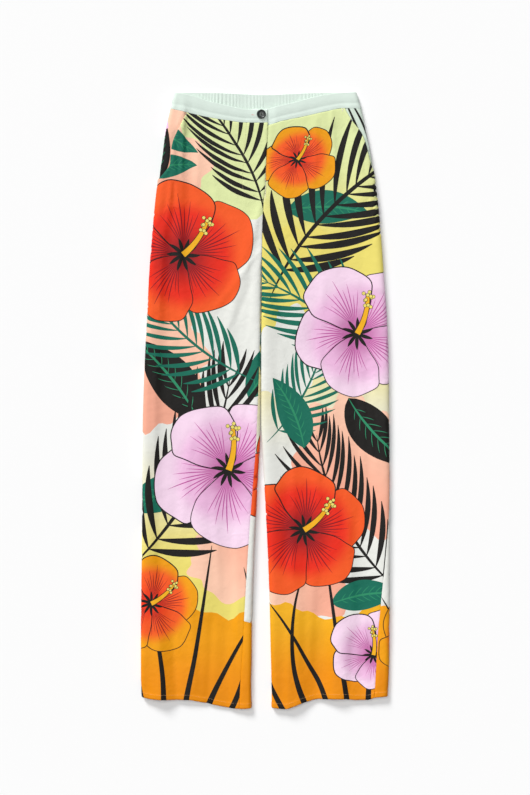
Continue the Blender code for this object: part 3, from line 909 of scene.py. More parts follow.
@dataclass
class Print:
    """Shapes of ink on a panel's cut, each over the ones before it."""

    ground: Wash
    shapes: list[tuple[Array, Wash]] = field(default_factory=list)

    def add(self, outline: Array, wash: Wash) -> None:
        """Lay down one more shape."""
        self.shapes.append((outline if area_of(outline) > 0 else outline[::-1], wash))

    def stroke(self, line: Array, width: float, dye: Dye, blunt: float = 0.7) -> None:
        """A tapered stroke along a line."""
        self.add(stroke(line, tapered(len(line), width, blunt)), plain(dye))

    def blob(
        self, centre: Sequence[float], size: Sequence[float], wash: Wash, seed: float, lobes: int = 7
    ) -> None:
        """A large rounded shape with an uneven, lobed edge.

        Args:
            centre: Its middle.
            size: Its half width and half height.
            wash: Its colour.
            seed: The start of its waves.
            lobes: How many lobes it has.
        """
        turn = np.linspace(0, 2 * math.pi, 90, endpoint=False)
        reach = 1 + 0.1 * np.sin(lobes * turn + seed) + 0.06 * np.sin((2 * lobes + 1) * turn + 2 * seed)
        reach += 0.13 * np.sin(2 * turn + 3 * seed)
        shape = np.stack([np.cos(turn), np.sin(turn)], axis=1) * reach[:, None]
        self.add(np.array(centre) + shape * np.array(size), wash)

    def band(self, up: float, wave: float, wash: Wash, seed: float, above: bool = False) -> None:
        """A wide field below a wavy line, or above it.

        Args:
            up: The line's level.
            wave: The height of its waves.
            wash: The field's colour.
            seed: The start of the waves.
            above: Whether the field lies above the line.
        """
        x = np.linspace(-300, 300, 60)
        line = np.stack([x, up + wave * ripple(x, 190, seed) + 0.3 * wave * ripple(x, 47, seed)], axis=1)
        far = LENGTH + 200 if above else -200.0
        self.add(np.concatenate([line, [[300, far], [-300, far]]]), wash)

    def blossom(self, centre: Sequence[float], radius: float, turn: float, kind: Bloom) -> None:
        """A five-petalled flower with veined petals and a long stamen.

        Args:
            centre: Its middle.
            radius: Its petals' length.
            turn: Its first petal's direction.
            kind: Its colours.
        """
        middle = np.array(centre, float)
        for i, step in enumerate((0, 2, 4, 1, 3)):
            aim = turn + 72 * step
            size = radius * (1 + 0.07 * math.sin(2.1 * i + turn))
            outline = petal(middle, aim, size, 0.94 * size, 10, turn + i)
            self.add(outset(outline, 1.5 + 0.6 * (i % 2)), plain(kind.line))
            wash = Wash(kind.throat, kind.petal, tuple(middle), (0.56 * radius, 0.0), True, kind.edge)
            self.add(outline, wash)
            for vein in range(-4, 5):
                spread = 6.4 * vein
                reach = size * (0.82 - 0.05 * abs(vein) - 0.12 * (vein % 2))
                start = middle + heading_of(aim + spread * 0.5) * 0.16 * size
                line = sweep(start, aim + 1.1 * spread, reach - 0.16 * size, 10 + 1.2 * vein, 9)
                self.stroke(line, 0.016 * radius - 0.16 * abs(vein), kind.vein)
        for i in range(10):
            line = sweep(middle, turn + 36 * i + 9, 0.24 * radius, 12, 6)
            self.stroke(line, 0.055 * radius, kind.line)
        stamen = sweep(middle, turn + 20, 0.62 * radius, 34, 12)
        self.add(stroke(stamen, np.linspace(0.085, 0.045, 12) * radius + 2.4), plain(kind.line))
        self.add(stroke(stamen, np.linspace(0.085, 0.045, 12) * radius), plain(Dye.GOLD))
        for i in range(11):
            aside = heading_of(turn + 137 * i) * (0.035 + 0.05 * (i % 3) / 2) * radius
            spot = stamen[-1 - i // 3] + aside
            ball = spot + 0.024 * radius * heading_of(np.arange(0, 360, 45.0))
            self.add(outset(ball, 0.8), plain(kind.line))
            self.add(ball, plain(Dye.YELLOW))

    def leaf(
        self,
        start: Sequence[float],
        turn: float,
        length: float,
        width: float,
        curl: float,
        dyes: tuple[Dye, Dye],
    ) -> None:
        """A pointed leaf with a light midrib and side veins.

        Args:
            start: Its foot.
            turn: Its direction there.
            length: Its length.
            width: Its greatest width.
            curl: How far it turns.
            dyes: The colours of the blade and the veins.
        """
        spine = sweep(start, turn, length, curl, 22)
        widths = width * np.sin(math.pi * np.linspace(0, 1, 22) ** 0.8) ** 0.9 + 0.3
        self.add(stroke(spine, widths), plain(dyes[0]))
        self.stroke(spine[:-1], 0.05 * width + 0.8, dyes[1])
        turns = turn + curl * np.linspace(0, 1, 22)
        for i in range(3, 18, 2):
            for way in (1, -1):
                vein = sweep(spine[i], turns[i] + way * 48, 0.40 * widths[i], -way * 22, 6)
                self.stroke(vein, 1.3, dyes[1])

    def frond(
        self, start: Sequence[float], turn: float, length: float, curl: float, dye: Dye, pairs: int = 13
    ) -> None:
        """A palm frond: an arching rib with slender leaflets on both sides.

        Args:
            start: Its foot.
            turn: Its direction there.
            length: Its length.
            curl: How far it turns.
            dye: Its colour.
            pairs: How many pairs of leaflets it has.
        """
        steps = 4 * pairs
        rib = sweep(start, turn, length, curl, steps)
        turns = turn + curl * np.linspace(0, 1, steps)
        for i in range(pairs):
            at = int((0.14 + 0.84 * i / (pairs - 1)) * (steps - 1))
            share = at / (steps - 1)
            reach = 0.42 * length * math.sin(math.pi * (0.16 + 0.74 * share)) ** 0.8
            for way in (1, -1):
                aim = turns[at] + way * (66 - 40 * share)
                leaflet = sweep(rib[at], aim, reach * (1 + 0.06 * math.sin(3.7 * i + way)), -way * 26, 12)
                self.stroke(leaflet, 0.034 * length * (1.05 - 0.45 * share), dye, 0.85)
        self.stroke(rib, 0.018 * length, dye)

    def grass(
        self, start: Sequence[float], turn: float, length: float, curl: float, width: float, dye: Dye
    ) -> None:
        """One long blade.

        Args:
            start: Its foot.
            turn: Its direction there.
            length: Its length.
            curl: How far it turns.
            width: Its width at the foot.
            dye: Its colour.
        """
        line = sweep(start, turn, length, curl, 34)
        share = np.linspace(0, 1, 34)
        self.add(stroke(line, width * (1 - share) ** 0.6 + 0.8), plain(dye))


# ---- finishes


class Nodes:
    """A node tree that is filled a node at a time."""

    def __init__(self, tree: bpy.types.NodeTree) -> None:
        """Take the tree to fill."""
        self.tree = tree

    def feed(self, node: bpy.types.Node, inputs: dict[str | int, object]) -> None:
        """Feed a node's inputs.

        Args:
            node: The node.
            inputs: For each input, by name or number, a value or the socket to link to it.
        """
        for name, value in inputs.items():
            if isinstance(value, bpy.types.NodeSocket):
                self.tree.links.new(value, node.inputs[name])
            else:
                node.inputs[name].default_value = value

    def add(
        self, kind: str, inputs: dict[str | int, object] | None = None, **settings: object
    ) -> bpy.types.Node:
        """Add a node.

        Args:
            kind: Its type.
            inputs: What feeds its inputs.
            settings: The node's own properties.

        Returns:
            The node.
        """
        node = self.tree.nodes.new(kind)
        for name, value in settings.items():
            setattr(node, name, value)
        self.feed(node, inputs or {})
        return node

    def maths(self, operation: str, first: object, second: object = 0.0) -> bpy.types.NodeSocket:
        """The result of a sum on one or two values."""
        return self.add("ShaderNodeMath", {0: first, 1: second}, operation=operation).outputs[0]


def new_group(
    name: str, kind: str, inputs: dict[str, tuple[str, object]], outputs: dict[str, str]
) -> bpy.types.NodeTree:
    """A node group with named sockets.

    Args:
        name: The group's name.
        kind: The type of its tree.
        inputs: For each input, its socket type and default value.
        outputs: For each output, its socket type.

    Returns:
        The group's tree.
    """
    tree = bpy.data.node_groups.new(name, kind)
    for label, (socket_kind, value) in inputs.items():
        socket = tree.interface.new_socket(label, in_out="INPUT", socket_type=socket_kind)
        if value is not None:
            socket.default_value = value
    for label, socket_kind in outputs.items():
        tree.interface.new_socket(label, in_out="OUTPUT", socket_type=socket_kind)
    return tree


SLUB_PER_METRE = (90.0, 1400.0, 1.0)
CLOUD = {"Scale": 38.0, "Detail": 4.0, "Roughness": 0.6}
SOFT_CRUMPLE = {"Scale": 16.0, "Detail": 3.0, "Distortion": 0.6}
FINE_CRUMPLE = {"Scale": 55.0, "Detail": 2.0, "Distortion": 1.2}
FINE_SHARE = 0.28
SLUB_SHARE = 0.8
EVEN_TONE = 0.9
WEAVE_STRENGTH = 0.6
SHEEN_ROUGHNESS = 0.45


def woven_group() -> bpy.types.NodeTree:
    """The weave, slub and light crumple of a cloth, read from its cut; its colour is mottled and lightened
    by a painted highlight on the weave's raised points.

    Returns:
        The group's tree.
    """
    number, colour = "NodeSocketFloat", "NodeSocketColor"
    inputs = {
        "Colour": (colour, (1, 1, 1, 1)),
        "Threads per metre": (number, 2200.0),
        "Mottle": (number, 0.05),
        "Roughness": (number, 0.5),
    }
    outputs = {"Colour": colour, "Roughness": number, "Weave": number, "Crumple": number}
    tree = new_group("woven_cloth", "ShaderNodeTree", inputs, outputs)
    nodes = Nodes(tree)
    given = nodes.add("NodeGroupInput").outputs
    cut = nodes.add("ShaderNodeUVMap", uv_map="cut").outputs["UV"]
    across_up = nodes.add("ShaderNodeSeparateXYZ", {0: cut}).outputs
    turns = nodes.maths("MULTIPLY", given["Threads per metre"], math.pi)
    warp, weft = (nodes.maths("SINE", nodes.maths("MULTIPLY", at, turns)) for at in across_up[:2])
    weave = nodes.maths("ABSOLUTE", nodes.maths("MULTIPLY", warp, weft))
    slub_at = nodes.add("ShaderNodeVectorMath", {0: cut, 1: SLUB_PER_METRE}, operation="MULTIPLY")
    slub = nodes.add("ShaderNodeTexNoise", {"Vector": slub_at.outputs[0], "Scale": 1.0, "Detail": 2.0})
    slub = nodes.maths("MULTIPLY", slub.outputs["Fac"], SLUB_SHARE)
    cloud, soft, fine = (
        nodes.add("ShaderNodeTexNoise", {"Vector": cut, **noise}).outputs["Fac"]
        for noise in (CLOUD, SOFT_CRUMPLE, FINE_CRUMPLE)
    )
    uneven = nodes.maths("SUBTRACT", nodes.maths("ADD", cloud, slub), EVEN_TONE)
    shade = nodes.maths("MULTIPLY", uneven, given["Mottle"])
    # Random mottle, plus up to 5% lighter where the weave's bump is highest: a painted highlight on the
    # raised threads.
    mottle_and_weave_highlight = nodes.maths("ADD", nodes.maths("MULTIPLY", weave, 0.05), nodes.maths("ADD", shade, 0.975))
    toned = nodes.add("ShaderNodeVectorMath", {0: given["Colour"], "Scale": mottle_and_weave_highlight}, operation="SCALE")
    results = {
        "Colour": toned.outputs[0],
        "Roughness": nodes.maths("ADD", nodes.maths("MULTIPLY", shade, 1.2), given["Roughness"]),
        "Weave": nodes.maths("ADD", weave, slub),
        "Crumple": nodes.maths("ADD", soft, nodes.maths("MULTIPLY", fine, FINE_SHARE)),
    }
    nodes.add("NodeGroupOutput", results)
    return tree


@dataclass(frozen=True)
class Finish:
    """A look that is made into a material once, with a plain dye or None."""

    name: str
    dye: Dye | None

    def inputs(self, nodes: Nodes) -> dict[str, object]:
        """What feeds the shader's inputs; each kind of finish has its own."""
        raise NotImplementedError

    def material(self) -> bpy.types.Material:
        """The finish as a material.

        Returns:
            The material, the same one each time.
        """
        if self.name in bpy.data.materials:
            return bpy.data.materials[self.name]
        made = bpy.data.materials.new(self.name)
        made.use_nodes = True
        nodes = Nodes(made.node_tree)
        nodes.feed(made.node_tree.nodes["Principled BSDF"], self.inputs(nodes))
        return made


@dataclass(frozen=True)
class ClothFinish(Finish):
    """The look of one cloth; a dye of None reads the print."""

    reverse: float = 0.0
    roughness: float = 0.5
    sheen: float = 0.05
    mottle: float = 0.05
    crumple: float = 0.0018
    threads: float = 2200.0
    weave_depth: float = 0.00006
    specular: float = 0.14

    def inputs(self, nodes: Nodes) -> dict[str, object]:
        """What feeds the shader's inputs.

        Args:
            nodes: The material's nodes.

        Returns:
            A value or a socket for each input.
        """
        if self.dye is None:
            colour = nodes.add("ShaderNodeVertexColor", layer_name="ink").outputs["Color"]
            if self.reverse:
                pale = {"Factor": self.reverse, 6: colour, 7: (*Dye.PALE.colour, 1)}
                colour = nodes.add("ShaderNodeMix", pale, data_type="RGBA").outputs[2]
        else:
            colour = (*self.dye.colour, 1)
        given = {
            "Colour": colour,
            "Threads per metre": self.threads,
            "Mottle": self.mottle,
            "Roughness": self.roughness,
        }
        group = bpy.data.node_groups.get("woven_cloth") or woven_group()
        cloth = nodes.add("ShaderNodeGroup", given, node_tree=group).outputs
        crumple = {"Height": cloth["Crumple"], "Distance": self.crumple, "Strength": 1.0}
        weave = {
            "Height": cloth["Weave"],
            "Distance": self.weave_depth,
            "Strength": WEAVE_STRENGTH,
            "Normal": nodes.add("ShaderNodeBump", crumple).outputs["Normal"],
        }
        return {
            "Base Color": cloth["Colour"],
            "Roughness": cloth["Roughness"],
            "Normal": nodes.add("ShaderNodeBump", weave).outputs["Normal"],
            "Sheen Weight": self.sheen,
            "Sheen Roughness": SHEEN_ROUGHNESS,
            "Specular IOR Level": self.specular,
        }


BUTTON_COLOUR = (0.012, 0.018, 0.016)
GRAIN_TONES = ((0.3, 0.82), (0.7, 1.12))
GRAIN_ROUGHNESS = 0.14


@dataclass(frozen=True)
class HardFinish(Finish):
    """The look of thread, tape or the button; a dye of None is the button's colour."""

    roughness: float
    grain_scale: float
    grain_depth: float
    coat: float = 0.0

    def inputs(self, nodes: Nodes) -> dict[str, object]:
        """What feeds the shader's inputs.

        Args:
            nodes: The material's nodes.

        Returns:
            A value or a socket for each input.
        """
        base = self.dye.colour if self.dye else np.array(BUTTON_COLOUR)
        place = nodes.add("ShaderNodeTexCoord").outputs["Object"]
        noise = {"Vector": place, "Scale": self.grain_scale, "Detail": 3.0}
        grain = nodes.add("ShaderNodeTexNoise", noise).outputs["Fac"]
        ramp = nodes.add("ShaderNodeValToRGB", {"Fac": grain})
        for stop, (position, tone) in zip(ramp.color_ramp.elements, GRAIN_TONES):
            stop.position = position
            stop.color = (*np.minimum(base * tone, 1), 1)
        bump = nodes.add("ShaderNodeBump", {"Height": grain, "Distance": self.grain_depth})
        uneven = nodes.maths("MULTIPLY", grain, GRAIN_ROUGHNESS)
        return {
            "Base Color": ramp.outputs["Color"],
            "Roughness": nodes.maths("ADD", uneven, self.roughness - GRAIN_ROUGHNESS / 2),
            "Normal": bump.outputs["Normal"],
            "Coat Weight": self.coat,
        }


PRINT_CLOTH = ClothFinish("printed_weave", None)
PRINT_REVERSE = ClothFinish("printed_weave_reverse", None, reverse=0.55, roughness=0.6)
MINT_CLOTH = ClothFinish("mint_weave", Dye.MINT, roughness=0.5, crumple=0.0010)
POCKET_CLOTH = ClothFinish("facing_weave", None, roughness=0.55)
PALE_THREAD = HardFinish("pale_thread", Dye.PALE, 0.6, 3000.0, 0.00005)
PINK_THREAD = HardFinish("pink_thread", Dye.ROSE, 0.6, 3000.0, 0.00005)
FLY_THREAD = HardFinish("fly_thread", Dye.TAN, 0.6, 3000.0, 0.00005)
HEM_THREAD = HardFinish("hem_thread", Dye.HONEY, 0.6, 3000.0, 0.00005)
DARK_THREAD = HardFinish("dark_thread", Dye.INK, 0.6, 3000.0, 0.00005)
TAPE = HardFinish("tape_weave", Dye.PALE, 0.75, 900.0, 0.0001)
BUTTON_RESIN = HardFinish("button_resin", None, 0.42, 260.0, 0.00003, coat=0.12)


# ---- making meshes

WALL_SHARP = 60

def new_object(name: str, data: bpy.types.ID) -> bpy.types.Object:
    """An object for a mesh, a lamp or a camera, in the scene.

    Args:
        name: Its name.
        data: What it shows.

    Returns:
        The object.
    """
    made = bpy.data.objects.new(name, data)
    bpy.context.scene.collection.objects.link(made)
    return made


def mesh_of(name: str, shell: bmesh.types.BMesh) -> bpy.types.Mesh:
    """A mesh from a shell.

    Args:
        name: The mesh's name.
        shell: The shell, which is then freed.

    Returns:
        The mesh.
    """
    mesh = bpy.data.meshes.new(name)
    shell.to_mesh(mesh)
    shell.free()
    return mesh


def evaluated_mesh(made: bpy.types.Object) -> bpy.types.Mesh:
    """The mesh that an object's modifiers make.

    Args:
        made: The object.

    Returns:
        The mesh.
    """
    bpy.context.view_layer.update()
    graph = bpy.context.evaluated_depsgraph_get()
    return bpy.data.meshes.new_from_object(made.evaluated_get(graph))


def finish_piece(
    piece: bpy.types.Object,
    nodes: Sequence[str] = (),
    area: float | None = None,
    rests_on: Sequence[str] = (),
) -> bpy.types.Object:
    """Fasten a piece to the body and hide the solids that it replaces.

    Args:
        piece: The piece.
        nodes: The solids that it replaces.
        area: The cut's area in square metres; not used.
        rests_on: What the sheet lies on; not used.

    Returns:
        The piece.
    """
    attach(piece, BODY)
    if nodes:
        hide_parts(*nodes)
    LOG.info("%s: %d faces", piece.name, len(piece.data.polygons))
    return piece


def give_wall(piece: bpy.types.Object, thickness: float) -> bpy.types.Modifier:
    """Give a sheet's outer face its thickness, and shade it by its larger faces.

    Args:
        piece: The sheet.
        thickness: Its thickness in millimetres.

    Returns:
        The modifier that thickens it.
    """
    wall = piece.modifiers.new("Cloth thickness", "SOLIDIFY")
    wall.thickness = thickness * MM
    wall.offset = -1
    piece.modifiers.new("Even shading", "WEIGHTED_NORMAL").mode = "FACE_AREA"
    return wall


def spaced(start: float, end: float, pitch: float, near: Sequence[float]) -> Array:
    """Places from start to end, closer together near both.

    Args:
        start: The first place.
        end: The last one.
        pitch: About how far apart they lie in the middle.
        near: How far in from each end the closer ones lie.

    Returns:
        The places.
    """
    near = np.array(near)
    first, last = start + near, end - near[::-1]
    count = max(1, round((last[0] - first[-1]) / pitch))
    return np.concatenate([first, np.linspace(first[-1], last[0], count + 1)[1:-1], last])


def grid_of(across: Array, ups: Array) -> Array:
    """Places of the cut, in a row for each level."""
    return np.stack([across, np.broadcast_to(ups[:, None], across.shape)], axis=-1)


def rim_of(grid: Array) -> Array:
    """The places round the edge of a grid."""
    return np.concatenate([grid[0], grid[1:, -1], grid[-1, -2::-1], grid[-2:0:-1, 0]])


def loft_wall(
    name: str, outer: Array, inner: Array, cut: Array, finish: ClothFinish
) -> bpy.types.Object:
    """A closed wall between two grids of points.

    Args:
        name: The piece's name.
        outer: The outer face, as rows, columns and x, y, z in millimetres.
        inner: The inner face.
        cut: The place of each column and row on the flat cut.
        finish: The cloth.

    Returns:
        The piece.
    """
    rows, columns = outer.shape[:2]
    index = np.arange(rows * columns).reshape(rows, columns)
    quads = np.stack([index[:-1, :-1], index[:-1, 1:], index[1:, 1:], index[1:, :-1]], axis=-1)
    quads = quads.reshape(-1, 4)
    count = rows * columns
    rim = rim_of(index)
    following = np.roll(rim, -1)
    sides = np.stack([rim + count, following + count, following, rim], axis=-1)
    faces = np.concatenate([quads, quads[:, ::-1] + count, sides])
    mesh = bpy.data.meshes.new(name)
    points = np.concatenate([outer.reshape(-1, 3), inner.reshape(-1, 3)]) * MM
    mesh.from_pydata(points.tolist(), [], faces.tolist())
    places = np.concatenate([cut.reshape(-1, 2)] * 2) * MM
    mesh.uv_layers.new(name="cut").uv.foreach_set("vector", places[faces.ravel()].ravel())
    shell = bmesh.new()
    shell.from_mesh(mesh)
    bmesh.ops.recalc_face_normals(shell, faces=shell.faces)
    shell.to_mesh(mesh)
    shell.free()
    mesh.shade_smooth()
    mesh.set_sharp_from_angle(angle=math.radians(WALL_SHARP))
    mesh.materials.append(finish.material())
    return new_object(name, mesh)


# ---- stitches


STITCH_SEED = 7


def stitch_tree() -> bpy.types.NodeTree:
    """Stitches along a line of points, each turned to the line and to the cloth's outward side.

    Returns:
        The group's tree.
    """
    number = "NodeSocketFloat"
    inputs = {
        "Geometry": ("NodeSocketGeometry", None),
        "Pitch": (number, 0.0026),
        "Stitch length": (number, 0.0021),
        "Thread radius": (number, 0.00022),
        "Turn": (number, 0.0),
        "Unevenness": (number, 0.06),
        "Thread": ("NodeSocketMaterial", None),
    }
    tree = new_group("stitches", "GeometryNodeTree", inputs, {"Geometry": "NodeSocketGeometry"})
    nodes = Nodes(tree)
    given = nodes.add("NodeGroupInput").outputs
    curve = nodes.add("GeometryNodeMeshToCurve", {0: given["Geometry"]}).outputs[0]
    sampled = nodes.add(
        "GeometryNodeResampleCurve", {"Curve": curve, "Length": given["Pitch"]}, mode="LENGTH"
    )
    tangent = nodes.add("GeometryNodeInputTangent").outputs[0]
    outward = nodes.add(
        "GeometryNodeInputNamedAttribute", {"Name": "outward"}, data_type="FLOAT_VECTOR"
    )
    along = nodes.add("FunctionNodeAlignRotationToVector", {"Vector": tangent}, axis="X")
    upright = nodes.add(
        "FunctionNodeAlignRotationToVector",
        {"Rotation": along.outputs[0], "Vector": outward.outputs[0]},
        axis="Z",
        pivot_axis="X",
    )
    spread = nodes.add("FunctionNodeRandomValue", {"Seed": STITCH_SEED}, data_type="FLOAT")
    wobble = nodes.maths("MULTIPLY", nodes.maths("SUBTRACT", spread.outputs[1], 0.5), given["Unevenness"])
    angles = nodes.add("ShaderNodeCombineXYZ", {2: nodes.maths("ADD", wobble, given["Turn"])}).outputs[0]
    turned = nodes.add("FunctionNodeEulerToRotation", {0: angles}).outputs[0]
    own = nodes.add(
        "FunctionNodeRotateRotation",
        {"Rotation": upright.outputs[0], "Rotate By": turned},
        rotation_space="LOCAL",
    )
    ball = nodes.add("GeometryNodeMeshUVSphere", {"Segments": 8, "Rings": 4, "Radius": 1.0}).outputs[0]
    half = nodes.maths("MULTIPLY", given["Stitch length"], 0.5)
    radius = given["Thread radius"]
    size = nodes.add("ShaderNodeCombineXYZ", {0: half, 1: radius, 2: radius})
    stitch = nodes.add("GeometryNodeTransform", {"Geometry": ball, "Scale": size.outputs[0]}).outputs[0]
    placed = nodes.add(
        "GeometryNodeInstanceOnPoints",
        {"Points": sampled.outputs[0], "Instance": stitch, "Rotation": own.outputs[0]},
    )
    real = nodes.add("GeometryNodeRealizeInstances", {0: placed.outputs[0]}).outputs[0]
    smooth = nodes.add("GeometryNodeSetShadeSmooth", {"Geometry": real}).outputs[0]
    dressed = nodes.add("GeometryNodeSetMaterial", {"Geometry": smooth, "Material": given["Thread"]})
    nodes.add("NodeGroupOutput", {0: dressed.outputs[0]})
    return tree


@dataclass(frozen=True)
class StitchLine:
    """A line of sewing: where it runs and how its stitches lie. Sizes are millimetres."""

    points: Array
    outward: Array
    pitch: float = 2.6
    length: float = 2.1
    radius: float = 0.22
    turn: float = 0.0
    unevenness: float = 0.10

    def mesh(self, finish: HardFinish) -> bpy.types.Mesh:
        """The stitches as a plain mesh.

        Args:
            finish: The thread.

        Returns:
            The mesh.
        """
        mesh = bpy.data.meshes.new("line")
        count = len(self.points)
        mesh.from_pydata((self.points * MM).tolist(), [(i, i + 1) for i in range(count - 1)], [])
        outward = mesh.attributes.new("outward", "FLOAT_VECTOR", "POINT")
        outward.data.foreach_set("vector", self.outward.ravel())
        guide = new_object("guide", mesh)
        sewn = guide.modifiers.new("Stitches", "NODES")
        sewn.node_group = bpy.data.node_groups.get("stitches") or stitch_tree()
        values = {
            "Pitch": self.pitch * MM,
            "Stitch length": self.length * MM,
            "Thread radius": self.radius * MM,
            "Turn": self.turn,
            "Unevenness": self.unevenness,
            "Thread": finish.material(),
        }
        for item in sewn.node_group.interface.items_tree:
            if item.in_out == "INPUT" and item.name in values:
                sewn[item.identifier] = values[item.name]
        result = evaluated_mesh(guide)
        bpy.data.objects.remove(guide)
        return result


def sewing(name: str, lines: Sequence[StitchLine], finish: HardFinish) -> bpy.types.Object:
    """One piece of all the stitches of one thread.

    Args:
        name: The piece's name.
        lines: The lines of sewing.
        finish: The thread.

    Returns:
        The piece.
    """
    joined = bmesh.new()
    for line in lines:
        joined.from_mesh(line.mesh(finish))
    mesh = mesh_of(name, joined)
    mesh.shade_smooth()
    mesh.materials.clear()
    mesh.materials.append(finish.material())
    return finish_piece(new_object(name, mesh))


def surface_line(
    tube: Tube, face: Face, places: Array, lift: float = 0.1, step: float = 1.5
) -> tuple[Array, Array]:
    """A line on the cloth and its outward directions.

    Args:
        tube: The leg.
        face: The half of the tube.
        places: The line on the cut.
        lift: How far off the cloth it runs.
        step: How close its points are.

    Returns:
        The points and the directions.
    """
    gaps = np.concatenate([[0], np.cumsum(np.linalg.norm(np.diff(places, axis=0), axis=1))])
    at = np.linspace(0, gaps[-1], max(2, int(gaps[-1] / step)))
    across, up = (np.interp(at, gaps, places[:, i]) for i in (0, 1))
    points = tube.surface(face, across, up, -lift)
    outward = points - tube.surface(face, across, up, 1 - lift)
    return points, outward / np.linalg.norm(outward, axis=1)[:, None]


# ---- the printed panels

CLOTH = 0.6
HEM_CLOTH = 1.3
HEM_DEPTH = 9.0
HEM_STEP = 1.5
TURNED_STEP = 2.0
INK_CELL = 0.9
INK_JOIN = 0.03
NEAR_SEAM = (0, 0.8, 1.8, 3.0, 4.6, 6.6, 9.0, 12.0, 15.5, 19.5)
NEAR_HEM = (0, 0.6, 1.6, 3.4, 6.0, 7.8, 8.8, 9.8, 11.4, 14.0, 18.0)
NEAR_END = (0, 1.5, 3.5, 6, 9)
SEAM_PITCH = 4.0
WAIST_STEPS = 76
HEM_STEPS = 80
LINE_REACH = 9.0
LINE_CLEAR = 1.3
LINE_GAPS = (0.8, 2.0, 4.0, 6.5)
MOUTH_STEPS = 44
MOUTH_REACH = 20.0
MOUTH_INSIDE = 0.4
MOUTH_TURN = 1.5
MOUTH_FOOT = 5.0
TURNED_EDGE = 6.0
FLY_FROM_UP = 921.0
FLY_EASE = 20.0
FLY_LAP = 1.4
FLY_REACH = 12.0
FLY_STITCH = (
    Spot(1055, -34.1),
    Spot(1035, -35.5),
    Spot(1000, -38.0),
    Spot(960, -41.0),
    Spot(945, -41.9),
    Spot(934, -39.5),
    Spot(927, -32.0),
    Spot(923.5, -20.0),
    Spot(921.5, -5.0),
)


class Draw(NamedTuple):
    """Cloth drawn in along a line, or raised where the depth is below zero."""

    depth: float
    reach: float
    start: float = 0.0

    def at(self, away: Array) -> Array:
        """How far it is drawn in at these distances from the line."""
        return self.depth * falloff(away - self.start, self.reach)


class Groove(NamedTuple):
    """A rounded groove along a line, or a ridge where the depth is below zero."""

    depth: float
    half_width: float
    middle: float = 0.0

    def at(self, away: Array) -> Array:
        """Its depth at these distances from the line."""
        return self.depth * hump(away - self.middle, self.half_width)


class Pucker(NamedTuple):
    """Waves along a line of sewing that fade away from it."""

    height: float
    length: float
    fade: float

    def at(self, along: Array, away: Array, start: float = 0.0) -> Array:
        """Their depth at places along the line and distances from it."""
        return self.height * ripple(along, self.length, start) * np.exp(-away / self.fade)


SEAM_DRAW = Draw(0.4, 2.0)
SEAM_PUCKERS = (Pucker(0.16, 13, 6), Pucker(0.08, 5.1, 6))
SEAM_STARTS = (0.0, 31.0)
FLY_DRAWS = {Side.RIGHT: (Draw(0.5, 0.9), Draw(-0.75, 9, 2)), Side.LEFT: (Draw(0.7, 7, 1),)}
FLY_GROOVE = Groove(0.5, 1.2)
FLY_PUCKER = Pucker(0.2, 9, 4)
HEM_DRAWS = (Draw(-0.4, 1.6, HEM_DEPTH), Draw(0.6, 1.0))
HEM_WAVE = Groove(0.20, 7, HEM_DEPTH)
HEM_WAVE_LENGTH = 12.0
HEM_WAVE_SLANT = 0.5
HEM_RIPPLE = Groove(0.08, 7, HEM_DEPTH)
HEM_RIPPLE_LENGTH = 4.6
WAIST_DRAW = Draw(0.35, 1.6)
WAIST_PUCKER = Pucker(0.22, 19, 16)
WAIST_START = 5.0
MOUTH_DRAWS = (Draw(0.5, 0.9), Draw(-0.5, 1.5, TURNED_EDGE))
MOUTH_GAPE = Groove(-1.5, 9)
MOUTH_GROOVE = Groove(0.35, 1.2, 7.5)
MOUTH_PUCKER = Pucker(0.14, 15, 8)
MOUTH_START = 3.0


def distance_to(line: Array, places: Array, reach: float) -> Array:
    """How far places lie from a line, no further than reach.

    Args:
        line: The line.
        places: The places.
        reach: The greatest distance that counts.

    Returns:
        The distances.
    """
    far = np.full(len(places), reach)
    low, high = line.min(axis=0) - reach, line.max(axis=0) + reach
    near = np.where(((places > low) & (places < high)).all(axis=1))[0]
    for first, last in zip(line[:-1], line[1:]):
        run = last - first
        offset = places[near] - first
        share = np.clip(offset @ run / (run @ run), 0, 1)
        far[near] = np.minimum(far[near], np.linalg.norm(offset - share[:, None] * run, axis=1))
    return far


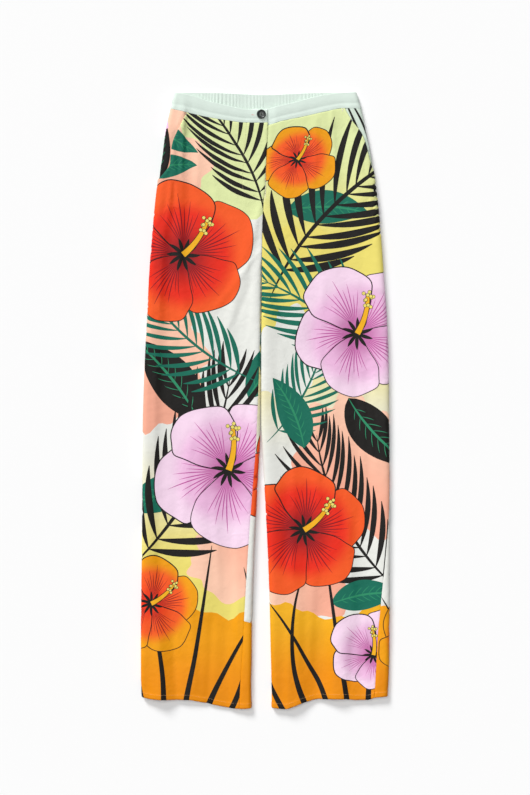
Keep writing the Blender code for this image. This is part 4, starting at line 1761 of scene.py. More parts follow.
@dataclass
class InkedSheet:
    """A sheet of cloth, cut along its outline and along the shapes of its print."""

    tube: Tube
    face: Face
    ink: Print
    outline: Array
    lattice: Array
    places: Array = field(init=False)

    def clear_of(self, edges: Sequence[Array]) -> Array:
        """The lattice's places that aren't so near an edge of ink that they make slivers.

        Args:
            edges: The outlines of the ink.

        Returns:
            The places that stay.
        """
        cells = set()
        for edge in edges:
            closed = np.vstack([edge, edge[:1]])
            for first, last in zip(closed[:-1], closed[1:]):
                count = 2 + int(np.linalg.norm(last - first) / INK_CELL)
                line = np.linspace(first, last, count) / INK_CELL
                cells.update(map(tuple, np.floor(line).astype(int)))
        own = np.floor(self.lattice / INK_CELL).astype(int)
        return self.lattice[[tuple(cell) not in cells for cell in own]]

    def build(
        self, name: str, depth_at: Callable[[Array], Array], finish: ClothFinish
    ) -> bpy.types.Object:
        """Make the sheet's outer face.

        Args:
            name: The piece's name.
            depth_at: For places of the cut, how far under the tube's surface they lie.
            finish: The cloth.

        Returns:
            The piece, with no wall yet.
        """
        self.outline = self.outline if area_of(self.outline) > 0 else self.outline[::-1]
        low, high = self.outline.min(axis=0), self.outline.max(axis=0)
        shapes = [
            (edge, wash)
            for edge, wash in self.ink.shapes
            if (edge.max(axis=0) > low).all() and (edge.min(axis=0) < high).all()
        ]
        edges = [edge for edge, _ in shapes]
        groups = [self.outline, *edges]
        starts = np.cumsum([0, *(len(group) for group in groups)])
        loops = [list(range(a, b)) for a, b in zip(starts[:-1], starts[1:])]
        every = np.concatenate([*groups, self.clear_of(edges)])
        made = delaunay_2d_cdt([Vector(place) for place in every], [], loops, 0, INK_JOIN, True)
        kept = [(face, max(ids)) for face, ids in zip(made[2], made[5]) if 0 in ids]
        shape_of = np.array([shape for _, shape in kept])
        used, faces = np.unique(np.array([face for face, _ in kept]), return_inverse=True)
        faces = faces.reshape(-1, 3)
        self.places = places = np.array([tuple(place) for place in made[0]])[used]
        corners = places[faces.ravel()]
        colours = self.ink.ground.at(corners)
        corner_shape = np.repeat(shape_of, 3)
        for i in np.unique(shape_of[shape_of > 0]):
            chosen = corner_shape == i
            colours[chosen] = shapes[i - 1][1].at(corners[chosen])
        points = self.tube.surface(self.face, places[:, 0], places[:, 1], depth_at(places)) * MM
        if self.face is Face.BACK:
            faces = faces[:, ::-1]
            colours = colours.reshape(-1, 3, 3)[:, ::-1].reshape(-1, 3)
            points[:, 2] = np.maximum(points[:, 2], 0)
        mesh = bpy.data.meshes.new(name)
        mesh.from_pydata(points.tolist(), [], faces.tolist())
        mesh.uv_layers.new(name="cut").uv.foreach_set("vector", (places[faces.ravel()] * MM).ravel())
        ink = mesh.color_attributes.new("ink", "FLOAT_COLOR", "CORNER")
        ink.data.foreach_set("color", np.concatenate([colours, np.ones((len(colours), 1))], axis=1).ravel())
        mesh.shade_smooth()
        mesh.materials.append(finish.material())
        return new_object(name, mesh)


@dataclass
class Panel:
    """One printed panel of a leg, cut from its tube between two seams."""

    tube: Tube
    face: Face
    ink: Print
    across_pitch: float
    up_pitch: float
    mouth: Array | None = None
    fly: Array | None = None

    def __post_init__(self) -> None:
        """Work out the lines that only a front has."""
        if self.face is Face.FRONT:
            self.mouth = self.mouth_line()
            if self.tube.side is Side.RIGHT:
                self.fly = np.array([self.tube.across_of(spot.x, spot.up) for spot in FLY_STITCH])

    @property
    def name(self) -> str:
        """The panel's name, which is its solid's too."""
        return f"{self.face.value}_{self.tube.side.label}"

    def mouth_line(self) -> Array:
        """The pocket's mouth on the cut, from the outseam to the waist seam.

        Returns:
            Its places.
        """
        table = POCKET_MOUTHS[self.tube.side]
        seen = np.linspace(table[0].up, table[-1].up, MOUTH_STEPS)
        places = []
        for up, x in zip(seen, Profile(table, "up", "x")(seen)):
            if abs(x) < abs(self.tube.read("outer", up)) - MOUTH_INSIDE:
                places.append(self.tube.across_of(float(x), float(up)))
        places = [place for place in places if place[1] < WAIST_SEAM_UP]
        low = places[0][1]
        ring = self.tube.ring(low - MOUTH_TURN)
        edge = self.tube.across(Face.FRONT, ring, 0.0)
        near, _ = self.tube.cut(Face.FRONT, np.array([low - MOUTH_FOOT]))
        slope = (places[-1][0] - places[-2][0]) / (places[-1][1] - places[-2][1])
        end = (places[-1][0] + slope * (WAIST_SEAM_UP - places[-1][1]), WAIST_SEAM_UP)
        return np.array([(near[0], low - MOUTH_FOOT), (edge, low - MOUTH_TURN), *places, end])

    def fly_share(self, ups: Array) -> Array | float:
        """1 up the fly, where a front's centre edge is its own, and 0 below it."""
        return ease((ups - FLY_FROM_UP) / FLY_EASE) if self.face is Face.FRONT else 0.0

    def edges(self, ups: Array) -> tuple[Array, Array]:
        """The cut's outseam and its inseam or centre edge, with the fly's lap.

        Args:
            ups: The levels.

        Returns:
            Where each edge lies across the cut.
        """
        near, far = self.tube.cut(self.face, ups)
        if self.fly is not None:
            far = far + FLY_LAP * self.fly_share(ups)
        return near, far

    def outline(self) -> Array:
        """The panel's cut edge, all round.

        Returns:
            Its places.
        """
        start = self.mouth[0, 1] if self.mouth is not None else WAIST_SEAM_UP
        up_near = spaced(0, start, SEAM_PITCH, NEAR_END)
        up_far = spaced(0, WAIST_SEAM_UP, SEAM_PITCH, NEAR_END)
        near, far = self.edges(up_near)[0], self.edges(up_far)[1]
        side = np.stack([near, up_near], axis=1)
        if self.mouth is not None:
            side = np.concatenate([side, self.mouth[1:]])
        inner = np.stack([far, up_far], axis=1)
        waist = np.linspace(side[-1], inner[-1], WAIST_STEPS)[1:-1]
        hem = np.linspace(inner[0], side[0], HEM_STEPS)[1:-1]
        return np.concatenate([side, waist, inner[::-1], hem])

    def lattice(self) -> Array:
        """Places spread over the cut, closer together near its seams, hem and pocket mouth.

        Returns:
            The places.
        """
        ups = spaced(0, WAIST_SEAM_UP, self.up_pitch, NEAR_HEM)[1:-1]
        near, far = self.edges(ups)
        width = np.abs(far - near).mean()
        share = spaced(0, width, self.across_pitch, NEAR_SEAM)
        edge = NEAR_SEAM[-1]
        size = np.abs(far - near)[:, None]
        spread = edge + (share - edge) * (size - 2 * edge) / (width - 2 * edge)
        grown = np.where(share >= width - edge, size - (width - share), spread)
        grown = np.where(share <= edge, share, grown)
        across = near[:, None] + np.sign(far - near)[:, None] * grown
        places = grid_of(across, ups)[:, 1:-1].reshape(-1, 2)
        beside = []
        for line in (self.mouth, self.fly):
            if line is None:
                continue
            places = places[distance_to(line, places, LINE_REACH) > LINE_CLEAR]
            aside = aside_of(line)
            beside += [line[2:-1] + way * gap * aside[2:-1] for gap in LINE_GAPS for way in (-1, 1)]
        return np.concatenate([places, *beside])

    def depth(self, places: Array) -> Array:
        """How far the sewing pulls the cloth in under the tube's surface, or raises it.

        Args:
            places: Places of the cut.

        Returns:
            The depth at each, below zero where the cloth is raised.
        """
        across, up = places.T
        near, far = self.edges(up)
        from_near, from_far = np.abs(across - near), np.abs(far - across)
        below = WAIST_SEAM_UP - up
        fly = self.fly_share(up)
        depth = SEAM_DRAW.at(from_near) + (1 - fly) * SEAM_DRAW.at(from_far)
        depth += fly * sum(draw.at(from_far) for draw in FLY_DRAWS[self.tube.side])
        for away, start in zip((from_near, from_far), SEAM_STARTS):
            depth += sum(pucker.at(up, away, start) for pucker in SEAM_PUCKERS)
        depth += sum(draw.at(up) for draw in HEM_DRAWS)
        depth += HEM_WAVE.at(up) * ripple(across + HEM_WAVE_SLANT * up, HEM_WAVE_LENGTH)
        depth += HEM_RIPPLE.at(up) * ripple(across, HEM_RIPPLE_LENGTH)
        depth += WAIST_DRAW.at(below) + WAIST_PUCKER.at(across, below, WAIST_START)
        if self.mouth is not None:
            away = distance_to(self.mouth, places, MOUTH_REACH)
            low = self.mouth[0, 1]
            gape = np.sin(math.pi * np.clip((up - low) / (WAIST_SEAM_UP - low), 0, 1))
            depth += sum(draw.at(away) for draw in MOUTH_DRAWS) + MOUTH_PUCKER.at(up, away, MOUTH_START)
            depth += gape * MOUTH_GAPE.at(away) + MOUTH_GROOVE.at(away)
        if self.fly is not None:
            away = distance_to(self.fly, places, FLY_REACH)
            depth += FLY_GROOVE.at(away) + FLY_PUCKER.at(up + across, away)
        return depth

    def thick(self, places: Array) -> Array:
        """The cloth's thickness as a share of the hem's, which is turned up and doubled.

        Args:
            places: Places of the cut.

        Returns:
            The share at each.
        """
        double = falloff(places[:, 1] - HEM_DEPTH, HEM_STEP)
        if self.mouth is not None:
            away = distance_to(self.mouth, places, MOUTH_REACH)
            double = np.maximum(double, falloff(away - TURNED_EDGE, TURNED_STEP))
        return (CLOTH + (HEM_CLOTH - CLOTH) * double) / HEM_CLOTH

    def build(self) -> bpy.types.Object:
        """Cut the cloth along its outline and its ink, and lay it on the tube.

        Returns:
            The finished panel.
        """
        sheet = InkedSheet(self.tube, self.face, self.ink, self.outline(), self.lattice())
        piece = sheet.build(self.name + "_cloth", self.depth, PRINT_CLOTH)
        piece.data.materials.append(PRINT_REVERSE.material())
        group = piece.vertex_groups.new(name="doubled")
        shares = np.round(self.thick(sheet.places), 2)
        for share in np.unique(shares):
            group.add(np.where(shares == share)[0].tolist(), float(share), "REPLACE")
        wall = give_wall(piece, HEM_CLOTH)
        wall.vertex_group = group.name
        wall.material_offset = 1
        size = np.ptp(sheet.outline, axis=0) * MM
        return finish_piece(
            piece,
            [self.name],
            area=abs(area_of(sheet.outline)) * MM * MM,
            rests_on=["floor"] if self.face is Face.BACK else [f"back_{self.tube.side.label}_cloth"],
        )


# ---- pockets, waistband, zip and button

POCKET_FROM_UP = 850.0
POCKET_WIDTH = 108.0
POCKET_DEPTH = 1.75
FACING_DEPTH = 0.3
FACING_STEP = 5.0
FACING_LOW = 4.0
FACING_LOW_EASE = 24.0
POCKET_PUFF = 0.25
POCKET_PUFF_LENGTH = 44.0
POCKET_PUFF_SLANT = 0.2
POCKET_PUFF_EASE = 8.0
NEAR_BAG_END = (0, 1, 3)
NEAR_BAG_SIDE = (0, 1, 2.5, 4.5, 7, 10)
BAND_CLOTH = 2.0
BAND_HEIGHT = LENGTH - WAIST_SEAM_UP
NEAR_BAND_EDGE = (0, 0.15, 0.4, 0.75, 1.3)
NEAR_BAND_END = (*NEAR_BAND_EDGE, 2.4, 4)
BAND_LAP_X = {Side.RIGHT: 3.9, Side.LEFT: -26.0}
BAND_UNDER = 1.0 + BAND_LAP_X[Side.RIGHT] - BAND_LAP_X[Side.LEFT]
BAND_GROOVES = (Groove(0.45, 0.045, 0.33), Groove(-0.5, 0.26, 0.66), Groove(-0.22, 0.09, 0.16))
BAND_PUCKER = Pucker(0.22, 23, 1 / 2.2)
BAND_SLANT = 6.0
BAND_SWELL = 0.16
BAND_SWELL_LENGTH = 37.0
BAND_SWELL_START = 4.0
BAND_SWELL_LEVEL = 0.4
BAND_LAYER = 2.4
BAND_STEP_OVER = 16.0
BAND_EDGE = 0.8
GATHER_FROM = -142.0
GATHER_TO = 140.0
GATHER_PITCH = 6.13
GATHER_DEPTH = 1.4
GATHER_SEAT = 0.5
GATHER_EASE = 40.0
GATHER_STEPS = 128
GATHER_STEPS_FROM = 6.0
GATHER_SIZE = 0.58
GATHER_LOW = 0.6
SMOOTH_FROM = -5.0
SMOOTH_TO = 23.0
SMOOTH_EASE = 6.0
BUTTON_DIAMETER = 16.5
BUTTON_X = -7.1
BUTTON_Y = 515.5
BUTTON_DISH = ((0, 1.62), (0.35, 1.66), (0.58, 1.78), (0.68, 2.1), (0.76, 2.6))
BUTTON_BACK = 0.62
BUTTON_STEPS = 96
BUTTON_SHARP = 40
THREAD_UP = 1.72
THREAD_ASIDE = 0.25
THREAD_RUN = 0.01


class Sway(NamedTuple):
    """A plain wave: its height, the distance in which it turns one radian, and its start."""

    height: float
    radian: float
    start: float = 0.0

    def at(self, x: Array) -> Array:
        """Its value at places across the garment."""
        return self.height * np.sin(x / self.radian + self.start)


GATHER_SHIFTS = (Sway(1.4, 19), Sway(1.0, 7.3, 1))
GATHER_LEAN = Sway(0.9, 31, 2)
GATHER_SIZES = (Sway(0.24, 13.7, 1.3), Sway(0.18, 5.1))


def rounded(away: Array) -> Array:
    """How far a wall's face falls in near its edge."""
    gap = np.clip(1 - away / BAND_EDGE, 0, 1)
    return BAND_EDGE * (1 - np.sqrt(1 - gap**2))


@dataclass
class Pocket:
    """A slanted pocket: the facing in its mouth, and the bag under the front."""

    panel: Panel
    ink: Print

    def depth(self, places: Array) -> Array:
        """How deep it lies: flush outside the mouth, and under the front's cloth inside it.

        Args:
            places: Places of the cut.

        Returns:
            The depth at each.
        """
        mouth = self.panel.mouth
        across, up = places.T
        inside = self.panel.tube.sign * (np.interp(up, mouth[:, 1], mouth[:, 0]) - across)
        low = falloff(up - mouth[0, 1] - FACING_LOW, FACING_LOW_EASE)
        deep = np.maximum(ease((inside + FACING_STEP) / FACING_STEP), low)
        puff = POCKET_PUFF * ripple(across + POCKET_PUFF_SLANT * up, POCKET_PUFF_LENGTH)
        puff *= ease((WAIST_SEAM_UP - up) / POCKET_PUFF_EASE)
        return FACING_DEPTH + (POCKET_DEPTH - FACING_DEPTH) * deep + np.clip(puff, 0, 1) * deep

    def build(self) -> bpy.types.Object:
        """Make the pocket.

        Returns:
            The piece.
        """
        tube = self.panel.tube
        side = tube.side.label
        ups = spaced(POCKET_FROM_UP, WAIST_SEAM_UP - 0.1, 4.0, NEAR_BAG_END)
        share = spaced(0, POCKET_WIDTH, 3.0, NEAR_BAG_SIDE)
        near, _ = tube.cut(Face.FRONT, ups)
        grid = grid_of(near[:, None] - tube.sign * share[None], ups)
        sheet = InkedSheet(tube, Face.FRONT, self.ink, rim_of(grid), grid[1:-1, 1:-1].reshape(-1, 2))
        piece = sheet.build(f"pocket_{side}_cloth", self.depth, POCKET_CLOTH)
        give_wall(piece, CLOTH)
        below = [f"back_{side}_cloth"]
        return finish_piece(piece, [f"pocket_{side}"], rests_on=below)


@dataclass
class Waistband:
    """The mint band: smooth in front, in two halves that lap, and gathered on elastic behind."""

    right: Tube
    left: Tube
    ups: Array = field(
        default_factory=lambda: spaced(WAIST_SEAM_UP, LENGTH, 2.0, NEAR_BAND_EDGE)
    )

    def edge_fall(self, up: Array) -> Array:
        """How the band's faces round off at its seam and its top."""
        return rounded(np.minimum(up - self.ups[0], self.ups[-1] - up))

    def front(self, tube: Tube) -> bpy.types.Object:
        """One half of the front's band.

        Args:
            tube: The side's tube.

        Returns:
            The piece.
        """
        near, far = tube.cut(Face.FRONT, self.ups)
        inner_edge = np.array([tube.read("inner", up) for up in self.ups])
        end = far + BAND_LAP_X[tube.side] - inner_edge
        width = float(np.abs(end - near).mean())
        share = spaced(0, width, 2.6, (*NEAR_BAND_END, 6, 8.5, 12)) / width
        across = near[:, None] + (end - near)[:, None] * share[None]
        up = np.broadcast_to(self.ups[:, None], across.shape)
        level = (up - WAIST_SEAM_UP) / BAND_HEIGHT
        base = np.zeros_like(across)
        if tube.side is Side.LEFT:
            base = BAND_LAYER * falloff(across - end[:, None] - BAND_UNDER, BAND_STEP_OVER)
        fall = np.maximum(self.edge_fall(up), rounded(width * np.minimum(share, 1 - share))[None])
        relief = sum(groove.at(level) for groove in BAND_GROOVES)
        relief += BAND_PUCKER.at(across + BAND_SLANT * level, level, tube.sign)
        swell = BAND_SWELL * ripple(across, BAND_SWELL_LENGTH, BAND_SWELL_START)
        relief += swell * ease(level / BAND_SWELL_LEVEL)
        outer, inner = (
            tube.surface(Face.FRONT, across, up, base + extra).reshape(*across.shape, 3)
            for extra in (fall + relief, BAND_CLOTH - fall)
        )
        name = f"waistband_front_{tube.side.label}"
        piece = loft_wall(name + "_cloth", outer, inner, grid_of(across, self.ups), MINT_CLOTH)
        return finish_piece(piece, [name], rests_on=["waistband_back_cloth"])

    @staticmethod
    def gather(x: Array, level: Array) -> Array:
        """The gathers' ribs on the back band, from 0 to 1, uneven in place and height.

        Args:
            x: Places across the garment.
            level: How far up the band they lie, from 0 to 1.

        Returns:
            The ribs' height at each place.
        """
        turn = 2 * math.pi * x / GATHER_PITCH + sum(sway.at(x) for sway in GATHER_SHIFTS)
        turn += GATHER_LEAN.at(x) * level
        size = GATHER_SIZE + sum(sway.at(x) for sway in GATHER_SIZES)
        size *= ease((x - GATHER_FROM) / GATHER_EASE) * ease((GATHER_TO - x) / GATHER_EASE)
        size *= 1 - ease((x - SMOOTH_FROM) / SMOOTH_EASE) * ease((SMOOTH_TO - x) / SMOOTH_EASE)
        size *= GATHER_LOW + (1 - GATHER_LOW) * ease(1 - np.abs(2 * level - 1))
        return (0.5 + 0.5 * np.sin(turn)) ** 0.7 * size

    def back(self) -> bpy.types.Object:
        """The band behind, from side to side underneath.

        Returns:
            The piece.
        """
        rows: list[tuple[Array, ...]] = []
        for tube in (self.right, self.left):
            near, _ = tube.cut(Face.BACK, self.ups)
            rings = [tube.ring(up) for up in self.ups]
            centre = np.array([tube.across(Face.BACK, ring, ring.reach_of[Face.BACK]) for ring in rings])
            width = float(np.abs(centre - near).mean())
            even = np.linspace(GATHER_STEPS_FROM, width, GATHER_STEPS)
            places = np.concatenate([NEAR_BAND_END, even]) / width
            across = near[:, None] + (centre - near)[:, None] * places[None]
            up = np.broadcast_to(self.ups[:, None], across.shape)
            level = (up - WAIST_SEAM_UP) / BAND_HEIGHT
            fall = np.maximum(self.edge_fall(up), rounded(width * places)[None])
            ribs = self.gather(across, level)
            seated = tube.surface(Face.BACK, across, up, fall + GATHER_SEAT * ribs)
            seated = seated.reshape(*across.shape, 3)
            raised = tube.surface(Face.BACK, across, up, BAND_CLOTH - fall).reshape(*across.shape, 3)
            raised[..., 2] += GATHER_DEPTH * ribs
            order = slice(None) if tube is self.right else slice(-2, None, -1)
            rows.append((seated[:, order], raised[:, order], grid_of(across, self.ups)[:, order]))
        outer, inner, cut = (np.concatenate(parts, axis=1) for parts in zip(*rows))
        piece = loft_wall("waistband_back_cloth", outer, inner, cut, MINT_CLOTH)
        width = float(np.abs(cut[0, -1, 0] - cut[0, 0, 0]))
        return finish_piece(piece, ["waistband_back"], rests_on=["floor"])


@dataclass
class Button:
    """A turned button with a raised rim and four holes, sewn on by crossed thread."""

    hole_ring: float = 1.75
    hole_radius: float = 0.85
    rim_half_width: float = 1.25
    rim_half_height: float = 1.15
    rim_up: float = 1.75

    @property
    def seat(self) -> float:
        """The height of its underside, in millimetres."""
        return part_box("button")[0][2] / MM

    def profile(self) -> Array:
        """The half section, from the middle of the top round to the middle of the back.

        Returns:
            Its points, as a distance from the middle and a height.
        """
        radius = BUTTON_DIAMETER / 2
        rim = np.radians(np.linspace(115, -70, 14))
        edge_x = radius - self.rim_half_width + self.rim_half_width * np.cos(rim)
        edge = np.stack([edge_x, self.rim_up + self.rim_half_height * np.sin(rim)], axis=1)
        dish = [(share * radius, up) for share, up in BUTTON_DISH]
        return np.concatenate([dish, edge, [(BUTTON_BACK * radius, 0.0), (0, 0.0)]])

    def build(self) -> bpy.types.Object:
        """Turn the button, drill it and seat it on the band.

        Returns:
            The piece.
        """
        turned = bmesh.new()
        ring = [turned.verts.new((x, 0, z)) for x, z in self.profile()]
        wire = [turned.edges.new(pair) for pair in zip(ring[:-1], ring[1:])]
        bmesh.ops.spin(
            turned,
            geom=[*ring, *wire],
            cent=(0, 0, 0),
            axis=(0, 0, 1),
            angle=2 * math.pi,
            steps=BUTTON_STEPS,
            use_merge=True,
        )
        bmesh.ops.remove_doubles(turned, verts=turned.verts, dist=1e-4)
        bmesh.ops.recalc_face_normals(turned, faces=turned.faces)
        bmesh.ops.scale(turned, verts=turned.verts, vec=(MM, MM, MM))
        middle = (BUTTON_X * MM, BUTTON_Y * MM, self.seat * MM)
        bmesh.ops.translate(turned, verts=turned.verts, vec=middle)
        piece = new_object("button_body", mesh_of("button_body", turned))
        drill = self.drill()
        cut = piece.modifiers.new("Holes", "BOOLEAN")
        cut.operation = "DIFFERENCE"
        cut.object = drill
        holed = evaluated_mesh(piece)
        piece.modifiers.clear()
        bpy.data.objects.remove(drill)
        piece.data = holed
        holed.materials.clear()
        holed.materials.append(BUTTON_RESIN.material())
        holed.shade_smooth()
        holed.set_sharp_from_angle(angle=math.radians(BUTTON_SHARP))
        return finish_piece(piece, ["button"])

    def holes(self) -> list[Array]:
        """The holes' places."""
        middle = np.array([BUTTON_X, BUTTON_Y])
        return [middle + self.hole_ring * heading_of(45.0 + 90 * i) for i in range(4)]

    def drill(self) -> bpy.types.Object:
        """Four pins where the holes go.

        Returns:
            The pins, as one object.
        """
        pins = bmesh.new()
        radius = self.hole_radius
        for x, y in self.holes():
            made = bmesh.ops.create_cone(
                pins, cap_ends=True, segments=20, radius1=radius, radius2=radius, depth=9
            )
            bmesh.ops.translate(pins, verts=made["verts"], vec=(x, y, self.seat + 1))
        bmesh.ops.scale(pins, verts=pins.verts, vec=(MM, MM, MM))
        return new_object("drill", mesh_of("drill", pins))

    def thread(self) -> list[StitchLine]:
        """Crossed stitches through the holes.

        Returns:
            The lines of sewing.
        """
        places = self.holes()
        up = self.seat + THREAD_UP
        lines = []
        for first, last in ((places[0], places[2]), (places[1], places[3])):
            length = float(np.linalg.norm(last - first))
            way = (last - first) / length
            for aside in (-THREAD_ASIDE, THREAD_ASIDE):
                middle = (first + last) / 2 + aside * np.array([way[1], -way[0]])
                ends = [(*(middle + run * (last - first)), up) for run in (-THREAD_RUN, THREAD_RUN)]
                outward = np.array([UPWARD, UPWARD])
                line = StitchLine(np.array(ends), outward, 10, 1.1 * length, 0.24, unevenness=0)
                lines.append(line)
        return lines


# ---- sewing


class Tack(NamedTuple):
    """A bar tack at a pocket's top: its middle as seen from above, and its direction in degrees."""

    up: float
    x: float
    turn: float


TACKS = {Side.RIGHT: Tack(1069.0, -141.4, 100.0), Side.LEFT: Tack(1079.0, 139.4, 80.0)}
TACK_HALF = 2.6
HEM_INSET = 1.5
BUTTONHOLE_UP = 1070.0
BUTTONHOLE_HALF = 0.6
BUTTONHOLE_FROM = -24.6
BUTTONHOLE_TO = -12.0
BUTTONHOLE_END = -24.8
BUTTONHOLE_END_HALF = 1.1
ACROSS = math.pi / 2


@dataclass
class Sewing:
    """The stitches that show: hems, fly, bar tacks and buttonhole."""

    panels: dict[str, Panel]
    right: Tube
    left: Tube

    def hems(self) -> list[StitchLine]:
        """A line round each hem.

        Returns:
            The lines of sewing.
        """
        lines = []
        for panel in self.panels.values():
            near, far = (float(edge[0]) for edge in panel.edges(np.array([HEM_DEPTH])))
            inset = HEM_INSET * np.sign(far - near)
            places = np.array([(near + inset, HEM_DEPTH), (far - inset, HEM_DEPTH)])
            points, outward = surface_line(panel.tube, panel.face, places, 0.32)
            lines.append(StitchLine(points, outward, pitch=2.6, length=2.4, radius=0.15))
        return lines

    def fly(self) -> list[StitchLine]:
        """The J of topstitching beside the fly.

        Returns:
            The line of sewing.
        """
        places = self.panels["front_right"].fly
        points, outward = surface_line(self.right, Face.FRONT, places, -0.15)
        return [StitchLine(points, outward, pitch=2.8, length=2.3, radius=0.28)]

    def tacks(self) -> list[StitchLine]:
        """A bar tack at the top of each pocket's mouth.

        Returns:
            The lines of sewing.
        """
        lines = []
        for tube in (self.right, self.left):
            tack = TACKS[tube.side]
            lean = math.cos(math.radians(tack.turn))
            ends = (-TACK_HALF, TACK_HALF)
            places = [tube.across_of(tack.x + end * lean, tack.up + end) for end in ends]
            points, outward = surface_line(tube, Face.FRONT, np.array(places), 0.55, 0.5)
            lines.append(StitchLine(points, outward, pitch=0.42, length=2.1, radius=0.2, turn=ACROSS))
        return lines

    def buttonhole(self) -> list[StitchLine]:
        """The close stitching round the buttonhole, of which one end shows beside the button.

        Returns:
            The lines of sewing.
        """
        lines = []
        for lift in (-BUTTONHOLE_HALF, BUTTONHOLE_HALF):
            run = np.linspace(BUTTONHOLE_FROM, BUTTONHOLE_TO, 8)
            places = [self.right.across_of(x, BUTTONHOLE_UP + lift) for x in run]
            points, outward = surface_line(self.right, Face.FRONT, np.array(places), 0.3, 0.6)
            lines.append(StitchLine(points, outward, pitch=0.40, length=1.4, radius=0.2, turn=ACROSS))
        ends = (BUTTONHOLE_UP - BUTTONHOLE_END_HALF, BUTTONHOLE_UP + BUTTONHOLE_END_HALF)
        places = [self.right.across_of(BUTTONHOLE_END, up) for up in ends]
        points, outward = surface_line(self.right, Face.FRONT, np.array(places), 0.14, 0.5)
        lines.append(StitchLine(points, outward, pitch=0.40, length=1.9, radius=0.22, turn=ACROSS))
        return lines


def zip_teeth() -> list[StitchLine]:
    """The closed coil down the middle of the zip's tape.

    Returns:
        The line of sewing.
    """
    low, high = (np.array(corner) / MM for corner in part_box("zip"))
    ups = np.linspace(low[1] + 4, high[1] - 4, 60)
    x = (low[0] + high[0]) / 2
    points = np.column_stack([np.full(60, x), ups, np.full(60, high[2] + 0.1)])
    outward = np.tile(UPWARD, (60, 1))
    return [StitchLine(points, outward, pitch=1.1, length=3.4, radius=0.3, turn=ACROSS, unevenness=0)]


# ---- the prints


def right_front_print() -> Print:
    """The wearer's right front.

    Returns:
        The print.
    """
    ink = Print(Wash(Dye.YELLOW, Dye.WHITE, (0, 250), (0, 260)))
    ink.band(885, 40, plain(Dye.LIME), 3, above=True)
    ink.blob((-185, 985), (74, 84), Wash(Dye.SALMON, Dye.PEACH, (-230, 930), (90, 100)), 0.6, 5)
    ink.blob((-196, 640), (98, 120), Wash(Dye.SALMON, Dye.PEACH, (-230, 560), (90, 160)), 1.4)
    ink.blob((-40, 720), (70, 96), plain(Dye.WHITE), 2.2, 6)
    ink.band(176, 26, Wash(Dye.ORANGE, Dye.DEEP_ORANGE, (0, 150), (0, -120)), 8)
    ink.blob((-60, 262), (84, 58), Wash(Dye.PEACH, Dye.SALMON, (-100, 230), (90, 60)), 3.6, 5)
    ink.leaf((-120, 520), 118, 190, 78, 24, DARK_LEAF)
    ink.leaf((-30, 560), 60, 170, 66, -30, GREEN_LEAF)
    ink.leaf((-130, 420), 214, 150, 64, -26, GREEN_LEAF)
    ink.frond((-250, 250), 42, 400, 40, Dye.INK)
    ink.frond((-14, 590), 158, 270, -36, Dye.GREEN)
    ink.frond((0, 880), 96, 300, 46, Dye.INK)
    ink.leaf((-226, 1066), -40, 120, 46, 26, GREEN_LEAF)
    ink.leaf((-214, 960), 30, 96, 40, -30, GREEN_LEAF)
    for i in range(6):
        foot = (-222 + 38 * i, -20)
        ink.grass(foot, 98 - 9 * i, 250 + 34 * (i % 3), 44 - 21 * (i % 4), GRASS_WIDTH, Dye.INK)
    ink.blossom((-148, 818), 128, 20, RED_BLOOM)
    ink.blossom((-66, 430), 132, 50, PINK_BLOOM)
    ink.blossom((-206, 190), 92, 5, CORAL_BLOOM)
    return ink


def left_front_print() -> Print:
    """The wearer's left front.

    Returns:
        The print.
    """
    ink = Print(Wash(Dye.WHITE, Dye.YELLOW, (0, 440), (0, 260)))
    ink.band(860, 34, Wash(Dye.YELLOW, Dye.LIME, (0, 820), (0, 200)), 11, above=True)
    ink.blob((160, 440), (104, 130), Wash(Dye.PEACH, Dye.SALMON, (200, 540), (-80, -160)), 2.9)
    ink.blob((48, 640), (74, 80), plain(Dye.WHITE), 4.1, 6)
    ink.blob((60, 236), (90, 74), Wash(Dye.PEACH, Dye.SALMON, (0, 200), (120, 0)), 5.3, 5)
    ink.band(180, 24, Wash(Dye.GOLD, Dye.DEEP_ORANGE, (0, 190), (0, -150)), 21)
    ink.leaf((40, 900), 10, 150, 62, -28, GREEN_LEAF)
    ink.leaf((150, 560), -60, 170, 74, 30, DARK_LEAF)
    ink.frond((8, 740), 66, 420, -46, Dye.INK, 15)
    ink.frond((252, 560), 124, 340, 34, Dye.GREEN)
    ink.frond((246, 210), 140, 330, -44, Dye.INK)
    ink.frond((2, 480), 44, 220, 34, Dye.GREEN)
    ink.leaf((70, 470), 100, 140, 58, 30, GREEN_LEAF)
    ink.leaf((120, 190), 20, 130, 54, -24, GREEN_LEAF)
    for i in range(6):
        foot = (222 - 36 * i, -20)
        ink.grass(foot, 82 + 8 * i, 240 + 34 * (i % 3), -46 + 23 * (i % 4), GRASS_WIDTH, Dye.INK)
    ink.blossom((166, 676), 122, 40, PINK_BLOOM)
    ink.blossom((70, 322), 118, 12, RED_BLOOM)
    ink.blossom((58, 1000), 74, 30, CORAL_BLOOM)
    ink.blossom((196, 96), 82, 58, PINK_BLOOM)
    return ink


def facing_print(side: Side) -> Print:
    """A pocket's facing, cut from another part of the cloth than its front.

    Args:
        side: The wearer's side.

    Returns:
        The print.
    """
    if side is Side.RIGHT:
        ink = Print(Wash(Dye.PEACH, Dye.SALMON, (0, 1080), (0, -150)))
        ink.leaf((-208, 930), 74, 150, 40, 18, DARK_LEAF)
        ink.blob((-192, 1050), (15, 20), plain(Dye.LILAC), 2)
        return ink
    ink = Print(Wash(Dye.AQUA, Dye.LIME, (0, 1020), (0, -120)))
    for i in range(3):
        ink.grass((214 - 12 * i, 925), 96 + 5 * i, 190, 30 - 12 * i, 8.0, Dye.INK)
    return ink


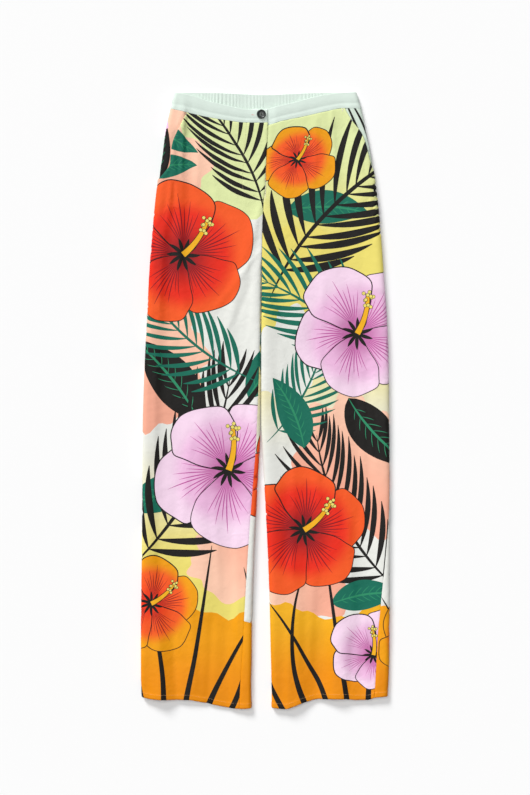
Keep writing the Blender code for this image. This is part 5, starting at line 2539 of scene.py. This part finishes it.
def back_print(side: Side) -> Print:
    """A back, in the same inks.

    Args:
        side: The wearer's side.

    Returns:
        The print.
    """
    way = side.value
    ink = Print(Wash(Dye.WHITE, Dye.YELLOW, (0, 400), (0, 300)))
    ink.band(900, 30, plain(Dye.LIME), 5 * way, above=True)
    ink.blob((way * 140, 560), (100, 130), Wash(Dye.PEACH, Dye.SALMON, (0, 480), (0, 160)), 1.7 * way)
    ink.band(160, 25, Wash(Dye.ORANGE, Dye.DEEP_ORANGE, (0, 150), (0, -120)), 3 * way)
    ink.leaf((way * 90, 640), 90, 190, 76, 20, DARK_LEAF)
    ink.frond((way * 10, 520), 90 - way * 30, 400, 30 * way, Dye.GREEN)
    ink.frond((way * 230, 240), 90 + way * 40, 340, -30 * way, Dye.INK)
    ink.leaf((way * 90, 200), 90, 160, 66, 20, GREEN_LEAF)
    for i in range(5):
        foot = (way * (40 + 38 * i), -20)
        ink.grass(foot, 96 - 6 * i, 240 + 30 * (i % 3), 36 - 19 * (i % 4), GRASS_WIDTH, Dye.INK)
    ink.blossom((way * 120, 850), 122, 15, PINK_BLOOM)
    ink.blossom((way * 96, 430), 126, 48, RED_BLOOM)
    ink.blossom((way * 170, 130), 84, 30, CORAL_BLOOM)
    return ink


# ---- the studio

PIXEL = 1.8
PHOTO_SIZE = (530, 795)
PHOTO_ORIGIN = (265.25, 400.5)
CAMERA_AWAY = 3.2
CLOTH_TOP = 0.009
FLOOR_SIZE = 16.0
FLOOR_GREY = 0.93
FLOOR_ROUGHNESS = 0.9
SENSOR = 36.0
AIR_SEEN = 0.97
AIR_STRENGTH = 0.15


class Lamp(NamedTuple):
    """A distant soft light: the way that it comes from, its spread in degrees and its strength."""

    name: str
    place: tuple[float, float, float]
    spread: float
    strength: float


LAMPS = (
    Lamp("key", (-0.56, 1.0, 0.52), 18.0, 3.03),
    Lamp("soft", (-0.15, 0.2, 1.0), 50.0, 1.62),
)


def studio() -> None:
    """A pale floor, a soft light from the upper left, and the camera straight above."""
    scene = bpy.context.scene
    scene.view_settings.view_transform = "Standard"
    scene.view_settings.look = "None"
    bpy.ops.mesh.primitive_plane_add(size=FLOOR_SIZE)
    floor = bpy.context.object
    floor.name = "floor"
    paint = bpy.data.materials.new("floor_paint")
    paint.use_nodes = True
    look = {"Base Color": (FLOOR_GREY, FLOOR_GREY, FLOOR_GREY, 1), "Roughness": FLOOR_ROUGHNESS}
    Nodes(paint.node_tree).feed(paint.node_tree.nodes["Principled BSDF"], look)
    floor.data.materials.append(paint)
    world = bpy.data.worlds.new("studio_air")
    world.use_nodes = True
    air = world.node_tree.nodes["Background"]
    nodes = Nodes(world.node_tree)
    seen = nodes.add("ShaderNodeLightPath").outputs["Is Camera Ray"]
    strength = nodes.maths("ADD", nodes.maths("MULTIPLY", seen, AIR_SEEN - AIR_STRENGTH), AIR_STRENGTH)
    nodes.feed(air, {"Strength": strength, "Color": (1, 1, 1, 1)})
    scene.world = world
    for name, place, spread, strength in LAMPS:
        light = bpy.data.lights.new(name, "SUN")
        light.angle = math.radians(spread)
        light.energy = strength
        lamp = new_object(name, light)
        lamp.location = place
        lamp.rotation_euler = (-Vector(place)).to_track_quat("-Z", "Y").to_euler()
    camera = bpy.data.cameras.new("camera")
    camera.sensor_fit = "VERTICAL"
    camera.sensor_height = SENSOR
    camera.lens = SENSOR * (CAMERA_AWAY - CLOTH_TOP) / (PHOTO_SIZE[1] * PIXEL * MM)
    eye = new_object("camera", camera)
    x, y = ((size / 2 - origin) * PIXEL * MM for size, origin in zip(PHOTO_SIZE, PHOTO_ORIGIN))
    eye.location = (x, -y, CAMERA_AWAY)
    scene.camera = eye


def main() -> None:
    """Build the garment piece by piece, light it and fasten it to the frame."""
    logging.basicConfig(level=logging.INFO, format="%(message)s")
    studio()
    right = Tube(Side.RIGHT, RIGHT_LEG, RIGHT_EDGES)
    left = Tube(Side.LEFT, LEFT_LEG, LEFT_EDGES)
    panels = [
        Panel(right, Face.BACK, back_print(Side.RIGHT), 5.0, 8.0),
        Panel(left, Face.BACK, back_print(Side.LEFT), 5.0, 8.0),
        Panel(right, Face.FRONT, right_front_print(), 3.4, 5.5),
        Panel(left, Face.FRONT, left_front_print(), 3.4, 5.5),
    ]
    by_name = {panel.name: panel for panel in panels}
    for panel in panels:
        panel.build()
    band = Waistband(right, left)
    band.back()
    for tube in (right, left):
        Pocket(by_name[f"front_{tube.side.label}"], facing_print(tube.side)).build()
        band.front(tube)
    button = Button()
    button.build()
    sewn = Sewing(by_name, right, left)
    sewing("hem_stitches", sewn.hems(), HEM_THREAD)
    sewing("fly_stitches", sewn.fly(), FLY_THREAD)
    sewing("bar_tacks", sewn.tacks(), PALE_THREAD)
    sewing("buttonhole", sewn.buttonhole(), PINK_THREAD)
    sewing("button_thread", button.thread(), DARK_THREAD)
    sewing("zip_coil", zip_teeth(), PALE_THREAD)
    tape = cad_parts["zip"]
    tape.data.materials.clear()
    tape.data.materials.append(TAPE.material())


if __name__ == "__main__":
    main()
